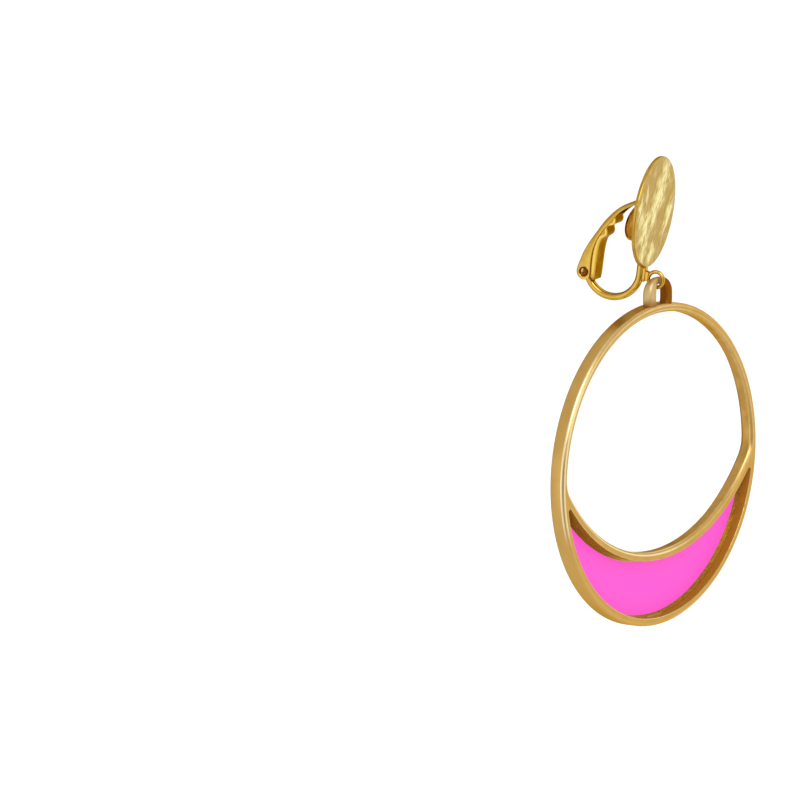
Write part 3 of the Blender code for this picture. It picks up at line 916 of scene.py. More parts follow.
@dataclass(frozen=True)
class Ripple:
    """Uneven waves over the disc.

    The first two fields say how many fit into its radius along the hammering and beside it, and the
    next where the noise is read. The last three say how fast finer waves fade, how many layers of them
    there are, and how many times finer each is.
    """

    along: float
    beside: float
    start: float
    fade: float
    layers: int
    finer: float = 2.0

    def place(self, along: float, beside: float) -> Vector:
        """Where the noise is read for a place on the disc."""
        return Vector((along * self.along, beside * self.beside, self.start))

    def wave(self, along: float, beside: float) -> float:
        """The height of the waves at a place, around 0."""
        return noise.fractal(self.place(along, beside), self.fade, self.finer, self.layers)

    def pit(self, along: float, beside: float) -> float:
        """How deep pits of the same size are at a place, from 0 up."""
        return noise.turbulence(self.place(along, beside), self.layers, False, amplitude_scale=self.fade)


@dataclass
class HammeredDisc:
    """Round disc whose face is hammered, with a painted highlight on its raised streaks and painted shade in
    its pits.
    """

    radius: float = 10.55 * MM
    thickness: float = 0.77 * MM
    edge: float = 0.35 * MM
    edge_steps: int = 8
    back_edge: float = 0.05 * MM
    rise: float = 3.65 * MM
    back: float = -4.6 * MM
    rings: int = 100
    first_ring: float = 0.02
    spokes: int = 320
    relief: float = 0.2 * MM
    streak_lift: float = 0.6
    wave_lift: float = 0.45
    fine_lift: float = 0.1
    pit_depth: float = 0.2 * MM
    pit_start: float = 0.3
    pit_least: float = 0.2
    flat_start: float = 0.88
    flat_length: float = 0.1
    grain_up: float = 0.9
    grain_across: float = 0.44
    bend_reach: float = 0.08
    low_streak_shine: float = 0.4
    streak_shine: float = 0.95
    streak_grain: float = 0.6
    wave_shine: float = 0.22
    fine_shine: float = 0.2
    broad_shine: float = 0.12
    pit_shade: float = 1.4
    rim_shine: float = 0.3
    rim_share: float = 0.35
    smooth_angle: float = 50.0
    bend: Ripple = Ripple(3.0, 3.0, 5.1, 0.9, 3)
    waves: Ripple = Ripple(1.2, 4.5, 0.3, 0.9, 4)
    pits: Ripple = Ripple(6.0, 14.0, 1.7, 0.5, 3)
    fine: Ripple = Ripple(7.0, 20.0, 7.3, 0.8, 3)
    broad: Ripple = Ripple(2.5, 2.5, 9.4, 0.9, 2)
    streaks: tuple[Streak, ...] = (
        Streak(0.10, 0.30, 0.64, 0.24, 61.0, 1.0, 0.5),
        Streak(-0.84, 0.14, 0.26, 0.07, 86.0, 0.5, 0.3),
        Streak(-0.54, 0.38, 0.15, 0.07, 84.0, 0.6, 0.3),
        Streak(-0.52, -0.22, 0.34, 0.27, 82.0, 0.8, 1.0),
        Streak(-0.05, -0.70, 0.18, 0.12, 55.0, 0.8, 0.2),
        Streak(0.62, -0.16, 0.34, 0.12, 58.0, 0.8, 0.4),
        Streak(-0.42, -0.66, 0.24, 0.12, 60.0, 0.6, 0.3),
    )

    def surface(self, across: float, up: float) -> tuple[float, float]:
        """The hammered face at a place given in shares of the radius.

        Args:
            across: Place to the right of the middle.
            up: Place above it.

        Returns:
            The height over the flat face, and its painted light from 0 to 1: painted highlight on the
            streaks, painted shade in the pits, and random tone.
        """
        bend = self.bend_reach * self.bend.wave(across, up)
        painted_light = 0.0
        height = 0.0
        pitted = 0.0
        for streak in self.streaks:
            share = streak.share(across + bend, up - bend)
            painted_highlight = self.low_streak_shine + (1 - self.low_streak_shine) * streak.height
            painted_light = max(painted_light, share * painted_highlight)
            height += streak.height * share
            pitted = max(pitted, streak.pits * share)
        along = across * self.grain_across + up * self.grain_up
        beside = up * self.grain_across - across * self.grain_up
        wave = self.waves.wave(along, beside)
        deep = max(0.0, self.pits.pit(along, beside) - self.pit_start)
        pit = (self.pit_least + (1 - self.pit_least) * pitted) * deep
        fine = self.fine.wave(along, beside)
        broad = self.broad.wave(across, up)
        keep = 1 - clamp((math.hypot(across, up) - self.flat_start) / self.flat_length)
        marks = self.streak_lift * height + self.wave_lift * wave + self.fine_lift * fine
        lift = (self.relief * marks - self.pit_depth * pit) * keep
        # Painted highlight on the streaks and painted shade in the pits; the waves add random tone.
        lit_share = painted_light * (self.streak_shine + self.streak_grain * fine)
        lit_share += self.wave_shine * wave + self.fine_shine * fine + self.broad_shine * broad
        return lift, clamp(lit_share - self.pit_shade * pit)

    def disc(self) -> bpy.types.Object:
        """The disc in the clip's axes, with its painted light on its points."""
        front = self.back - self.thickness
        flat = self.radius - self.edge
        profile = [(front, flat * (i + self.first_ring) / self.rings) for i in range(self.rings)]
        profile.append((front, flat))
        for i in range(1, self.edge_steps + 1):
            angle = math.pi / 2 * i / self.edge_steps
            profile.append((front + self.edge * (1 - math.cos(angle)), flat + self.edge * math.sin(angle)))
        profile += [(self.back - self.back_edge, self.radius), (self.back, self.radius - self.back_edge)]
        profile.append((self.back, 0.0))
        disc = turned("hammered_face", profile, self.spokes)
        disc.data.transform(Matrix.Translation((0, 0, self.rise)) @ Matrix.Rotation(math.pi / 2, 4, "Z"))
        lit_share = disc.data.attributes.new("painted_light", "FLOAT", "POINT").data
        for vert in disc.data.vertices:
            x, y, z = vert.co
            if y < front + TOUCH:
                lift, painted_light = self.surface(x / self.radius, (z - self.rise) / self.radius)
                vert.co.y = y - lift
                lit_share[vert.index].value = painted_light
            else:
                # Painted highlight on the left half of the rim, none on the right.
                lit_share[vert.index].value = self.rim_shine if x < 0 else 0.0
        return disc

    def build(self, finishes: Finishes) -> None:
        """Builds and dresses the disc.

        Args:
            finishes: All the finishes.
        """
        disc = self.disc()
        wall = self.back - self.thickness + self.rim_share * self.edge
        rim = [face.index for face in disc.data.polygons if face.center.y > wall]
        disc.data.transform(CLIP_AXES)
        smooth(disc, self.smooth_angle)
        dress(disc, finishes.hammered, Body.CLIP, "hammered_disc")
        second_finish(disc, rim, finishes.rim)


@dataclass
class ClipFrame:
    """Strap, ear pad, eye and hinge barrel of the clip."""

    disc_back: float = -4.6 * MM
    pad_radius: float = 3.45 * MM
    pad_rise: float = 1.2 * MM
    pad_wall: float = 2.5 * MM
    pad_base_gap: float = 0.1 * MM
    pad_base_edge: float = 0.15 * MM
    pad_bright: float = -1.6 * MM
    pad_steps: int = 28
    pad_spokes: int = 96
    strap_width: float = 1.8 * MM
    strap_thickness: float = 1.35 * MM
    strap_edge: float = 0.62 * MM
    strap_edge_steps: int = 6
    strap_radius: float = 5.275 * MM
    strap_centre_y: float = 1.45 * MM
    strap_centre_z: float = -8.4 * MM
    strap_end_angle: float = math.radians(25.0)
    strap_top: float = 1.0 * MM
    eye_radius: float = 1.48 * MM
    eye_wire: float = 0.36 * MM
    wire_steps: int = 24
    neck_width: float = 1.3 * MM
    neck_height: float = 2.3 * MM
    neck_rise: float = 0.45 * MM
    neck_edge: float = 0.34 * MM
    neck_edge_steps: int = 5
    neck_taper: float = 0.85
    neck_waist: float = 0.1
    plate_width: float = 1.3 * MM
    plate_thickness: float = 0.7 * MM
    plate_low: float = -9.75 * MM
    plate_height: float = 3.0 * MM
    plate_edge: float = 0.2 * MM
    plate_edge_steps: int = 4
    plate_taper: float = 0.35
    plate_power: int = 6
    plate_sunk: float = 0.3
    short_steps: int = 12
    solder_radius: float = 0.95 * MM
    solder_y: float = -4.2 * MM
    solder_z: float = -6.7 * MM
    solder_shape: Point = (1.05, 0.75, 0.6)
    solder_steps: int = 16
    solder_spokes: int = 32
    barrel_radius: float = 0.75 * MM
    barrel_bore: float = 0.5 * MM
    barrel_lip: float = 0.08 * MM
    barrel_half_length: float = 2.2 * MM

    @property
    def strap_front(self) -> float:
        """Where the middle of the strap's straight part lies."""
        return self.strap_centre_y - self.strap_radius

    def strap(self) -> bpy.types.Object:
        """The U-shaped strap."""
        drop = self.strap_centre_z - self.strap_top
        heights = [self.strap_top + drop * i / self.short_steps for i in range(self.short_steps)]
        points = [Vector((0, self.strap_front, z)) for z in heights]
        for i in range(RING_STEPS + 1):
            angle = math.pi + (math.pi - self.strap_end_angle) * i / RING_STEPS
            y = self.strap_centre_y + self.strap_radius * math.cos(angle)
            z = self.strap_centre_z + self.strap_radius * math.sin(angle)
            points.append(Vector((0, y, z)))
        points.append(Vector((0, PIVOT_Y, PIVOT_Z)))
        half_thick = self.strap_thickness / 2
        outline = rounded_rectangle(self.strap_width / 2, half_thick, self.strap_edge, self.strap_edge_steps)
        return loft("strap", outline, line_frames(points))

    def pad(self) -> bpy.types.Object:
        """The domed pad that the ear rests on."""
        base = self.disc_back + self.pad_base_gap
        dome = base + self.pad_wall
        bevel = self.pad_base_edge
        profile = [(base, 0.0), (base, self.pad_radius - bevel), (base + bevel, self.pad_radius)]
        for i in range(self.pad_steps + 1):
            angle = math.pi / 2 * i / self.pad_steps
            profile.append((dome - dome * math.sin(angle), self.pad_radius * math.cos(angle)))
        pad = turned("ear_pad", profile, self.pad_spokes)
        pad.data.transform(Matrix.Rotation(math.pi / 2, 4, "Z"))
        for vert in pad.data.vertices:
            vert.co.z += self.pad_rise * min(1.0, vert.co.y / dome)
        # Painted light: a painted highlight on the dome, painted shade towards the base by the disc.
        paint(pad, "painted_light", lambda place: 1 - place.y / self.pad_bright)
        return pad

    def eye(self) -> bpy.types.Object:
        """The ring that carries the hoop."""
        turns = [math.tau * i / self.wire_steps for i in range(self.wire_steps)]
        outline = [(self.eye_wire * math.sin(turn), self.eye_wire * math.cos(turn), 0.0) for turn in turns]
        frames = []
        for i in range(RING_STEPS + 1):
            angle = math.tau * i / RING_STEPS
            outward = Vector((0, math.cos(angle), math.sin(angle)))
            place = Vector((0, EYE_Y, EYE_Z)) + outward * self.eye_radius
            frames.append(frame_at(place, (1, 0, 0), outward, (0, -math.sin(angle), math.cos(angle))))
        return loft("eye_ring", outline, frames)

    def neck(self) -> bpy.types.Object:
        """The short neck between the strap and the eye."""
        start = EYE_Y + self.eye_radius
        outline = rounded_rectangle(
            self.neck_width / 2, self.neck_height / 2, self.neck_edge, self.neck_edge_steps
        )
        frames = []
        for i in range(self.short_steps + 1):
            share = i / self.short_steps
            taper = self.neck_taper + (1 - self.neck_taper) * share
            waist = taper - self.neck_waist * math.sin(math.pi * share)
            middle = (0, start + (self.strap_front - start) * share, EYE_Z + self.neck_rise)
            frames.append(frame_at(middle, (waist, 0, 0), (0, 0, waist), (0, -1, 0)))
        return loft("eye_neck", outline, frames)

    def plate(self) -> bpy.types.Object:
        """The short plate in front of the strap that the eye's neck stands on."""
        front = self.strap_front - self.strap_thickness / 2
        outline = rounded_rectangle(
            self.plate_width / 2, self.plate_thickness / 2, self.plate_edge, self.plate_edge_steps
        )
        frames = []
        for i in range(self.short_steps + 1):
            share = i / self.short_steps
            ease = 1 - self.plate_taper * (2 * share - 1) ** self.plate_power
            middle = front - self.plate_sunk * self.plate_thickness * ease
            place = (0, middle, self.plate_low + self.plate_height * share)
            frames.append(frame_at(place, (ease, 0, 0), (0, ease, 0), (0, 0, 1)))
        return loft("neck_plate", outline, frames)

    def solder(self) -> bpy.types.Object:
        """The bead of solder where the disc's lower edge meets the strap."""
        bead = turned("solder_bead", ball_profile(self.solder_radius, self.solder_steps), self.solder_spokes)
        shape = Matrix.Diagonal((*self.solder_shape, 1))
        bead.data.transform(Matrix.Translation((0, self.solder_y, self.solder_z)) @ shape)
        return bead

    def barrel(self) -> bpy.types.Object:
        """The tube on the strap's end that the rivet runs through."""
        half = self.barrel_half_length
        radius = self.barrel_radius
        lip = self.barrel_lip
        profile = [(-half, self.barrel_bore), (-half, radius - lip), (-half + lip, radius)]
        profile += [(-x, radius) for x, radius in reversed(profile)]
        profile.append((-half, self.barrel_bore))
        barrel = turned("hinge_barrel", profile)
        barrel.data.transform(Matrix.Translation((0, PIVOT_Y, PIVOT_Z)))
        return barrel

    def build(self, finishes: Finishes) -> None:
        """Builds and dresses the frame's pieces.

        Args:
            finishes: All the finishes.
        """
        others = {"ear_pad": finishes.pad, "solder_bead": finishes.solder}
        makers = (self.strap, self.pad, self.eye, self.neck, self.plate, self.solder, self.barrel)
        for piece in [make() for make in makers]:
            piece.data.transform(CLIP_AXES)
            smooth(piece)
            finish = others.get(piece.name, finishes.polished)
            dress(piece, finish, Body.CLIP, "clip_frame")


@dataclass
class ClipLever:
    """Channel-shaped lever with its leaf spring and pivot rivet."""

    reach: float = 9.85 * MM
    height: float = 15.0 * MM
    width: float = 5.6 * MM
    wall: float = 0.45 * MM
    corner: float = 0.35 * MM
    corner_share: float = 0.15
    corner_steps: int = 4
    side_shares: tuple[float, ...] = (1.0, 0.6, 0.3)
    cheek_radius: float = 1.52 * MM
    cheek_front: float = 1.13 * MM
    cheek_steps: int = 8
    cheek_last: float = math.radians(80.0)
    row_steps: int = 3
    slot_half: float = 1.35 * MM
    slot_top: float = 1.2 * MM
    bore_play: float = 0.03 * MM
    lever_edge: float = 0.09 * MM
    lever_edge_steps: int = 3
    # Painted highlight along the cheeks' edges; the cheeks are painted brighter low down and darker towards
    # the top.
    edge_highlight_reach: float = 0.6 * MM
    low_cheek_bright: float = 0.75
    darker_above: float = 0.6
    head_radius: float = 1.0 * MM
    rivet_radius: float = 0.4 * MM
    rivet_rim: float = 0.1 * MM
    rivet_dish: float = 0.36 * MM
    rivet_proud: float = 0.06 * MM
    rivet_lip: float = 0.03 * MM
    rivet_lip_wide: float = 0.04 * MM
    rivet_edge: float = 0.05 * MM
    rivet_spokes: int = 64
    dish_shares: tuple[float, ...] = (0.3, 0.5, 0.65, 0.76, 0.85, 0.92, 0.97)
    dish_power: int = 6
    burr_radius: float = 0.42 * MM
    burr_y: float = 0.4 * MM
    burr_z: float = 0.12 * MM
    burr_shape: Point = (0.6, 0.8, 1.2)
    burr_steps: int = 12
    burr_spokes: int = 24
    leaf_width: float = 4.6 * MM
    leaf_thickness: float = 1.1 * MM
    leaf_front: float = 0.15 * MM
    leaf_edge: float = 0.1 * MM
    leaf_edge_steps: int = 3
    leaf_steps: int = 8
    leaf_cuts: tuple[float, ...] = (-0.92, -0.75, 0.0, 0.75, 0.92)
    leaf_rub_start: float = 0.75
    leaf_rub_length: float = 0.2
    leaf_dull: float = 0.1
    hump_middles: tuple[float, float] = (0.715, 0.545)
    hump_half: float = 0.05
    core_inset: float = 0.05 * MM
    core_edge: float = 0.06 * MM
    core_edge_steps: int = 2

    def lever_rows(self) -> list[tuple[float, ...]]:
        """Rows up the lever: back Y and Z, cheek edge Y and Z, and the width's share."""
        shares = [
            (0.153, 0.023, -0.115, 0.023, 1.00),
            (0.134, 0.080, -0.112, 0.067, 1.00),
            (0.106, 0.143, -0.108, 0.120, 1.00),
            (0.074, 0.220, -0.108, 0.187, 1.00),
            (0.014, 0.317, -0.118, 0.273, 1.00),
            (-0.032, 0.381, -0.138, 0.343, 1.00),
            (-0.096, 0.460, -0.175, 0.423, 1.00),
            (-0.162, 0.535, -0.230, 0.499, 1.00),
            (-0.243, 0.630, -0.308, 0.590, 1.00),
            (-0.325, 0.713, -0.397, 0.671, 0.98),
            (-0.424, 0.797, -0.484, 0.755, 0.95),
            (-0.536, 0.873, -0.580, 0.828, 0.91),
            (-0.657, 0.933, -0.686, 0.885, 0.85),
            (-0.778, 0.973, -0.795, 0.926, 0.77),
            (-0.899, 0.993, -0.905, 0.950, 0.66),
            (-0.970, 0.998, -0.972, 0.960, 0.54),
            (-1.000, 0.998, -1.000, 0.966, 0.42),
        ]
        rows = []
        for i in range(self.cheek_steps, -1, -1):
            angle = self.cheek_last * i / self.cheek_steps
            half_chord = self.cheek_radius * math.cos(angle)
            drop = -self.cheek_radius * math.sin(angle)
            rows.append((half_chord, drop, -min(half_chord, self.cheek_front), drop, 1.0))
        upper = [
            (back_y * self.reach, back_z * self.height, front_y * self.reach, front_z * self.height, width)
            for back_y, back_z, front_y, front_z, width in shares
        ]
        return rows + smooth_rows(upper, self.row_steps)

    def lever(self) -> bpy.types.Object:
        """The paddle, from a skin drawn up the rows and given its wall."""
        rows = self.lever_rows()
        frames = []
        for back_y, back_z, front_y, front_z, width in rows:
            inward = Vector((0, front_y - back_y, front_z - back_z))
            along = Vector((0, -inward.z, inward.y)).normalized() * MM
            frames.append(frame_at((0, back_y, back_z), (width, 0, 0), inward, along))
        half = self.width / 2
        outline = [(-half, share, 0.0) for share in self.side_shares]
        for i in range(self.corner_steps + 1):
            angle = math.pi / 2 * i / self.corner_steps
            aside = self.corner * (1 - math.cos(angle))
            outline.append((-half + aside, self.corner_share * (1 - math.sin(angle)), 0.0))
        outline.append((0.0, 0.0, 0.0))
        outline += [(-x, y, z) for x, y, z in reversed(outline[:-1])]
        lever = loft("lever_paddle", outline, frames, closed=False)
        apply_modifier(lever, "SOLIDIFY", thickness=self.wall, offset=-1.0, use_even_offset=True)
        self.cut_lever(lever)
        round_edges(lever, self.lever_edge, self.lever_edge_steps)
        edge = [Vector((row[2], row[3])) for row in rows]
        paint(lever, "painted_light", lambda place: self.lever_painted_light(place, edge))
        return lever

    def cut_lever(self, lever: bpy.types.Object) -> None:
        """Cuts the slot for the strap's end and the bore for the rivet.

        Args:
            lever: The lever, before its edges are rounded.
        """
        slot_low = -2 * self.cheek_radius
        bpy.ops.object.select_all(action="DESELECT")
        middle = (0, 0, (self.slot_top + slot_low) / 2)
        size = (2 * self.slot_half, 4 * self.cheek_radius, self.slot_top - slot_low)
        bpy.ops.mesh.primitive_cube_add(size=1.0, location=middle, scale=size)
        cut(lever, bpy.context.object)
        radius = self.head_radius + self.bore_play
        ends = [(-self.width, 0), (-self.width, radius), (self.width, radius), (self.width, 0)]
        cut(lever, turned("bore", ends))

    def lever_painted_light(self, place: Vector, edge: list[Vector]) -> float:
        """The lever's painted light at a place: a painted highlight along its cheeks' edges, and brighter low
        on its cheeks than towards the top.

        Args:
            place: The place.
            edge: Points of the cheeks' edge, seen from the side.

        Returns:
            The brightness.
        """
        near = min((Vector((place.y, place.z)) - point).length for point in edge) / self.edge_highlight_reach
        low = 1 - place.z / (self.height * self.darker_above)
        return max(1 - near, self.low_cheek_bright * low)

    def leaf(self) -> bpy.types.Object:
        """The spring strip with two grip humps, from rows of its Y, Z, width's share and depth's share."""
        shares = [
            (-0.493, 0.776, 0.86, 0.4),
            (-0.473, 0.760, 0.96, 0.4),
            (-0.478, 0.732, 1.00, 0.4),
            (-0.487, 0.704, 1.00, 0.4),
            (-0.480, 0.672, 1.00, 0.4),
            (-0.442, 0.646, 1.00, 0.4),
            (-0.388, 0.634, 1.00, 0.4),
            (-0.343, 0.618, 1.00, 0.4),
            (-0.326, 0.590, 1.00, 0.4),
            (-0.339, 0.560, 1.00, 0.4),
            (-0.346, 0.528, 1.00, 0.4),
            (-0.331, 0.494, 1.00, 0.4),
            (-0.286, 0.468, 1.00, 0.7),
            (-0.240, 0.444, 1.00, 1.0),
            (-0.214, 0.404, 1.00, 1.0),
            (-0.197, 0.335, 1.00, 1.0),
            (-0.186, 0.240, 1.00, 1.0),
            (-0.184, 0.140, 1.00, 1.0),
            (-0.184, 0.040, 1.00, 0.95),
            (-0.186, -0.035, 0.97, 0.75),
            (-0.192, -0.095, 0.80, 0.4),
        ]
        rows = smooth_rows(shares, self.leaf_steps)
        points = [Vector((0, y * self.reach, z * self.height)) for y, z, width, depth in rows]
        widths = [width for y, z, width, depth in rows]
        depths = [depth for y, z, width, depth in rows]
        half_wide = self.leaf_width / 2
        half_thick = self.leaf_thickness / 2
        section = rounded_rectangle(half_wide, half_thick, self.leaf_edge, self.leaf_edge_steps)
        outline = [(x, y + half_thick - self.leaf_front, 0.0) for x, y, z in section]
        leaf = loft("leaf_strip", outline, line_frames(points, widths, depths))
        with editing(leaf, Part.VERT):
            for share in self.leaf_cuts:
                bpy.ops.mesh.select_all(action="SELECT")
                bpy.ops.mesh.bisect(plane_co=(share * half_wide, 0, 0), plane_no=(1, 0, 0))
        paint(leaf, "painted_light", self.leaf_rub_and_shade)
        return leaf

    def leaf_rub_and_shade(self, place: Vector) -> float:
        """How bright the leaf is at a place: rubbed bright at its sides, with painted shade on the humps and
        a little less between them.

        Args:
            place: The place.

        Returns:
            The brightness.
        """
        side = (abs(place.x) * 2 / self.leaf_width - self.leaf_rub_start) / self.leaf_rub_length
        up = place.z / self.height
        on_hump = any(abs(up - middle) <= self.hump_half for middle in self.hump_middles)
        return max(0.0 if on_hump else self.leaf_dull, side)

    def leaf_core(self) -> bpy.types.Object:
        """The folded seat behind the grip humps, between the strip and the lever's back."""
        shares = [
            (-0.475, 0.757),
            (-0.475, 0.682),
            (-0.430, 0.653),
            (-0.350, 0.622),
            (-0.325, 0.590),
            (-0.338, 0.530),
            (-0.322, 0.498),
            (-0.280, 0.474),
            (-0.220, 0.450),
            (-0.180, 0.410),
            (-0.130, 0.400),
            (-0.168, 0.460),
            (-0.232, 0.535),
            (-0.312, 0.630),
            (-0.400, 0.713),
        ]
        half = self.leaf_width / 2 - self.core_inset
        outline = [(0.0, y * self.reach, z * self.height) for y, z in shares]
        core = loft("leaf_core", outline, [Matrix.Translation((x, 0, 0)) for x in (-half, half)])
        round_edges(core, self.core_edge, self.core_edge_steps)
        return core

    def rivet(self) -> bpy.types.Object:
        """The rivet with a dished head in each cheek."""
        outer = self.width / 2 + self.rivet_proud
        inner = self.width / 2 - self.wall
        rim = self.head_radius - self.rivet_rim
        head = self.head_radius
        edge = self.rivet_edge
        half = [(outer - self.rivet_dish, 0.0)]
        for share in self.dish_shares:
            half.append((outer - self.rivet_dish * (1 - share**self.dish_power), rim * share))
        half += [(outer - self.rivet_lip, rim), (outer, rim + self.rivet_lip_wide), (outer, head - edge)]
        half += [(outer - edge, head), (inner, head), (inner, self.rivet_radius)]
        profile = half + [(-x, radius) for x, radius in reversed(half)]
        return turned("dished_rivet", profile, self.rivet_spokes)

    def dish_faces(self, rivet: bpy.types.Object) -> list[int]:
        """Numbers of the faces in the dishes of the rivet's heads, before the rivet is in place.

        Args:
            rivet: The rivet, about its own axis.

        Returns:
            The numbers.
        """
        outer = self.width / 2 + self.rivet_proud
        rim = self.head_radius - self.rivet_rim
        faces = []
        for face in rivet.data.polygons:
            sunk = outer - self.rivet_dish - TOUCH < abs(face.center.x) < outer - self.rivet_lip
            if sunk and math.hypot(face.center.y, face.center.z) < rim:
                faces.append(face.index)
        return faces

    def burr(self, side: int) -> bpy.types.Object:
        """The bright burr left in a dish by the setting tool.

        Args:
            side: -1 for the left cheek, 1 for the right.

        Returns:
            The burr.
        """
        burr = turned("rivet_burr", ball_profile(self.burr_radius, self.burr_steps), self.burr_spokes)
        place = (side * (self.width / 2 + self.rivet_proud - self.rivet_dish), self.burr_y, self.burr_z)
        burr.data.transform(Matrix.Translation(place) @ Matrix.Diagonal((*self.burr_shape, 1)))
        return burr

    def build(self, finishes: Finishes) -> None:
        """Builds and dresses the lever, the leaf and its seat, the rivet and the two burrs in it.

        Args:
            finishes: All the finishes.
        """
        lever, leaf, core, rivet = self.lever(), self.leaf(), self.leaf_core(), self.rivet()
        burrs = [self.burr(-1), self.burr(1)]
        dish = self.dish_faces(rivet)
        for piece in (lever, leaf, core, rivet, *burrs):
            piece.data.transform(CLIP_AXES @ Matrix.Translation((0, PIVOT_Y, PIVOT_Z)))
            smooth(piece)
        dress(lever, finishes.lever, Body.LEVER, "clip_lever")
        dress(leaf, finishes.leaf, Body.LEVER, "leaf_spring")
        dress(core, finishes.polished, Body.LEVER, "leaf_spring")
        for piece in (*burrs, rivet):
            dress(piece, finishes.rivet, Body.LEVER, "pivot_rivet")
        # The dishes get painted shade.
        second_finish(rivet, dish, finishes.dish)


@dataclass
class Hoop:
    """Oval hoop with its crescent cell, its bail and its enamel."""

    half_width: float = 32.2 * MM
    half_height: float = 30.55 * MM
    depth: float = 3.1 * MM
    band: float = 1.7 * MM
    shoulder: float = 0.6 * MM
    chamfer_share: float = 0.8
    line_width: float = 0.2 * MM
    line_steps: int = 3
    back_edge: float = 0.4 * MM
    back_edge_steps: int = 4
    opening_back: float = 0.95 * MM
    cell_rim: float = 1.7 * MM
    cell_height: float = 10.6 * MM
    arc_radius: float = 39.0 * MM
    bar: float = 1.8 * MM
    bar_fillet: float = 5.0 * MM
    bar_fillet_steps: int = 14
    tip_radius: float = 0.3 * MM
    tip_steps: int = 8
    cell_edge: float = 0.1 * MM
    ledge_depth: float = 1.6 * MM
    ledge_step: float = 0.2 * MM
    enamel_depth: float = 2.45 * MM
    enamel_thickness: float = 0.3 * MM
    enamel_gap: float = 0.2 * MM
    wall_margin: float = 0.05 * MM
    wall_slant: float = 0.1
    ledge_slant: float = -0.3
    ledge_facing: float = -0.9
    body_aside: float = 0.35 * MM
    highlight_start: float = 2.0 * MM
    highlight_length: float = 8.0 * MM
    shoulder_end: float = 12.0 * MM
    shoulder_fade: float = 5.0 * MM
    top_start: float = 16.0 * MM
    top_fade: float = 10.0 * MM
    top_dull: float = 0.6
    outer_shine: float = 0.5
    arc_shine: float = 0.4
    inner_dull: float = 0.8
    lit_start: float = -16.0 * MM
    lit_length: float = 12.0 * MM
    bail_radius: float = 3.1 * MM
    bail_half_wide: float = 2.75 * MM
    bail_squareness: float = 0.8
    bail_width: float = 2.1 * MM
    bail_depth: float = 2.15 * MM
    bail_edge: float = 0.75 * MM
    bail_edge_steps: int = 5
    bail_crown: float = 1.3 * MM
    bail_crown_depth: float = 1.2 * MM
    crown_power: int = 3
    bail_uneven: float = 0.12
    bail_forward: float = 0.22 * MM
    bail_aside: float = 0.45 * MM
    bail_seat: float = 1.25 * MM
    bail_foot: float = math.radians(50.0)
    bail_hang: float = 0.12 * MM
    left_lit_reach: float = 0.35
    arm_shine: float = 0.7
    arm_start: float = -0.05
    arm_length: float = 0.4
    foot_start: float = -1.65
    foot_length: float = 0.7
    foot_least: float = 0.25
    steps: int = 288
    halvings: int = 50

    @property
    def body_place(self) -> Vector:
        """Where the hoop's own axes start."""
        return self.swing + Vector((self.body_aside, self.bail_forward, 0))

    @property
    def centre_z(self) -> float:
        """Height of the oval's middle below the swing axis."""
        return -self.bail_radius - self.bail_seat - self.half_height

    @property
    def arc_z(self) -> float:
        """Height of the centre of the cell's upper arc."""
        return self.centre_z - self.half_height + self.cell_rim + self.cell_height + self.arc_radius

    @property
    def swing(self) -> Vector:
        """Where the bail's crown hangs in the eye."""
        return CLIP_AXES @ Vector((0, EYE_Y, EYE_Z)) - Vector((0, self.bail_forward, self.bail_hang))

    def oval(self, angle: float, inset: float) -> Vector:
        """A point of the oval outline moved in by a distance.

        Args:
            angle: The point's angle.
            inset: The distance.

        Returns:
            The point, in the hoop's own axes.
        """
        x = self.half_width * math.cos(angle)
        z = self.half_height * math.sin(angle)
        outward = Vector((self.half_height * math.cos(angle), 0, self.half_width * math.sin(angle)))
        return Vector((x, 0, self.centre_z + z)) - outward.normalized() * inset

    def oval_share(self, place: Vector, inset: float) -> float:
        """Under 1 inside the oval outline moved in by a distance, over 1 outside it.

        Args:
            place: The place, in the hoop's own axes.
            inset: The distance.

        Returns:
            The share.
        """
        x = place.x / (self.half_width - inset)
        z = (place.z - self.centre_z) / (self.half_height - inset)
        return x * x + z * z

    def in_band(self, place: Vector) -> bool:
        """Whether a place lies nearer to the opening than to the outside of the band."""
        return self.oval_share(place, self.band / 2) < 1

    def from_arc(self, place: Vector) -> float:
        """How far a place lies below the arc that ends the cell."""
        return math.hypot(place.x, place.z - self.arc_z) - self.arc_radius

    def slab(self, name: str, outline: list[Vector], front: float, back: float) -> bpy.types.Object:
        """A flat plate of an outline between two depths.

        Args:
            name: Its name.
            outline: Points of the outline.
            front: Where it starts.
            back: Where it ends.

        Returns:
            The plate.
        """
        frames = [Matrix.Translation((0, front, 0)), Matrix.Translation((0, back, 0))]
        return loft(name, [tuple(point) for point in outline], frames)

    def corner_angle(self, inset: float, radius: float) -> float:
        """Where the oval's inset line meets a circle about the arc's centre.

        Args:
            inset: How far the line lies inside the oval.
            radius: Radius of the circle.

        Returns:
            The angle on the right half of the oval.
        """
        centre = Vector((0, 0, self.arc_z))
        low, high = -math.pi / 2, math.pi / 2
        for _ in range(self.halvings):
            middle = (low + high) / 2
            if (self.oval(middle, inset) - centre).length > radius:
                low = middle
            else:
                high = middle
        return (low + high) / 2

    def fillet(self, centre: Vector, start: Vector, end: Vector, radius: float, steps: int) -> list[Vector]:
        """Points of a small arc about a centre, from one direction to another the short way.

        Args:
            centre: The centre.
            start: The direction it starts at.
            end: The one it ends at.
            radius: Its radius.
            steps: Spans in it.

        Returns:
            The points.
        """
        first = math.atan2(start.z, start.x)
        sweep = (math.atan2(end.z, end.x) - first + math.pi) % math.tau - math.pi
        angles = [first + sweep * i / steps for i in range(steps + 1)]
        return [centre + radius * Vector((math.cos(angle), 0, math.sin(angle))) for angle in angles]

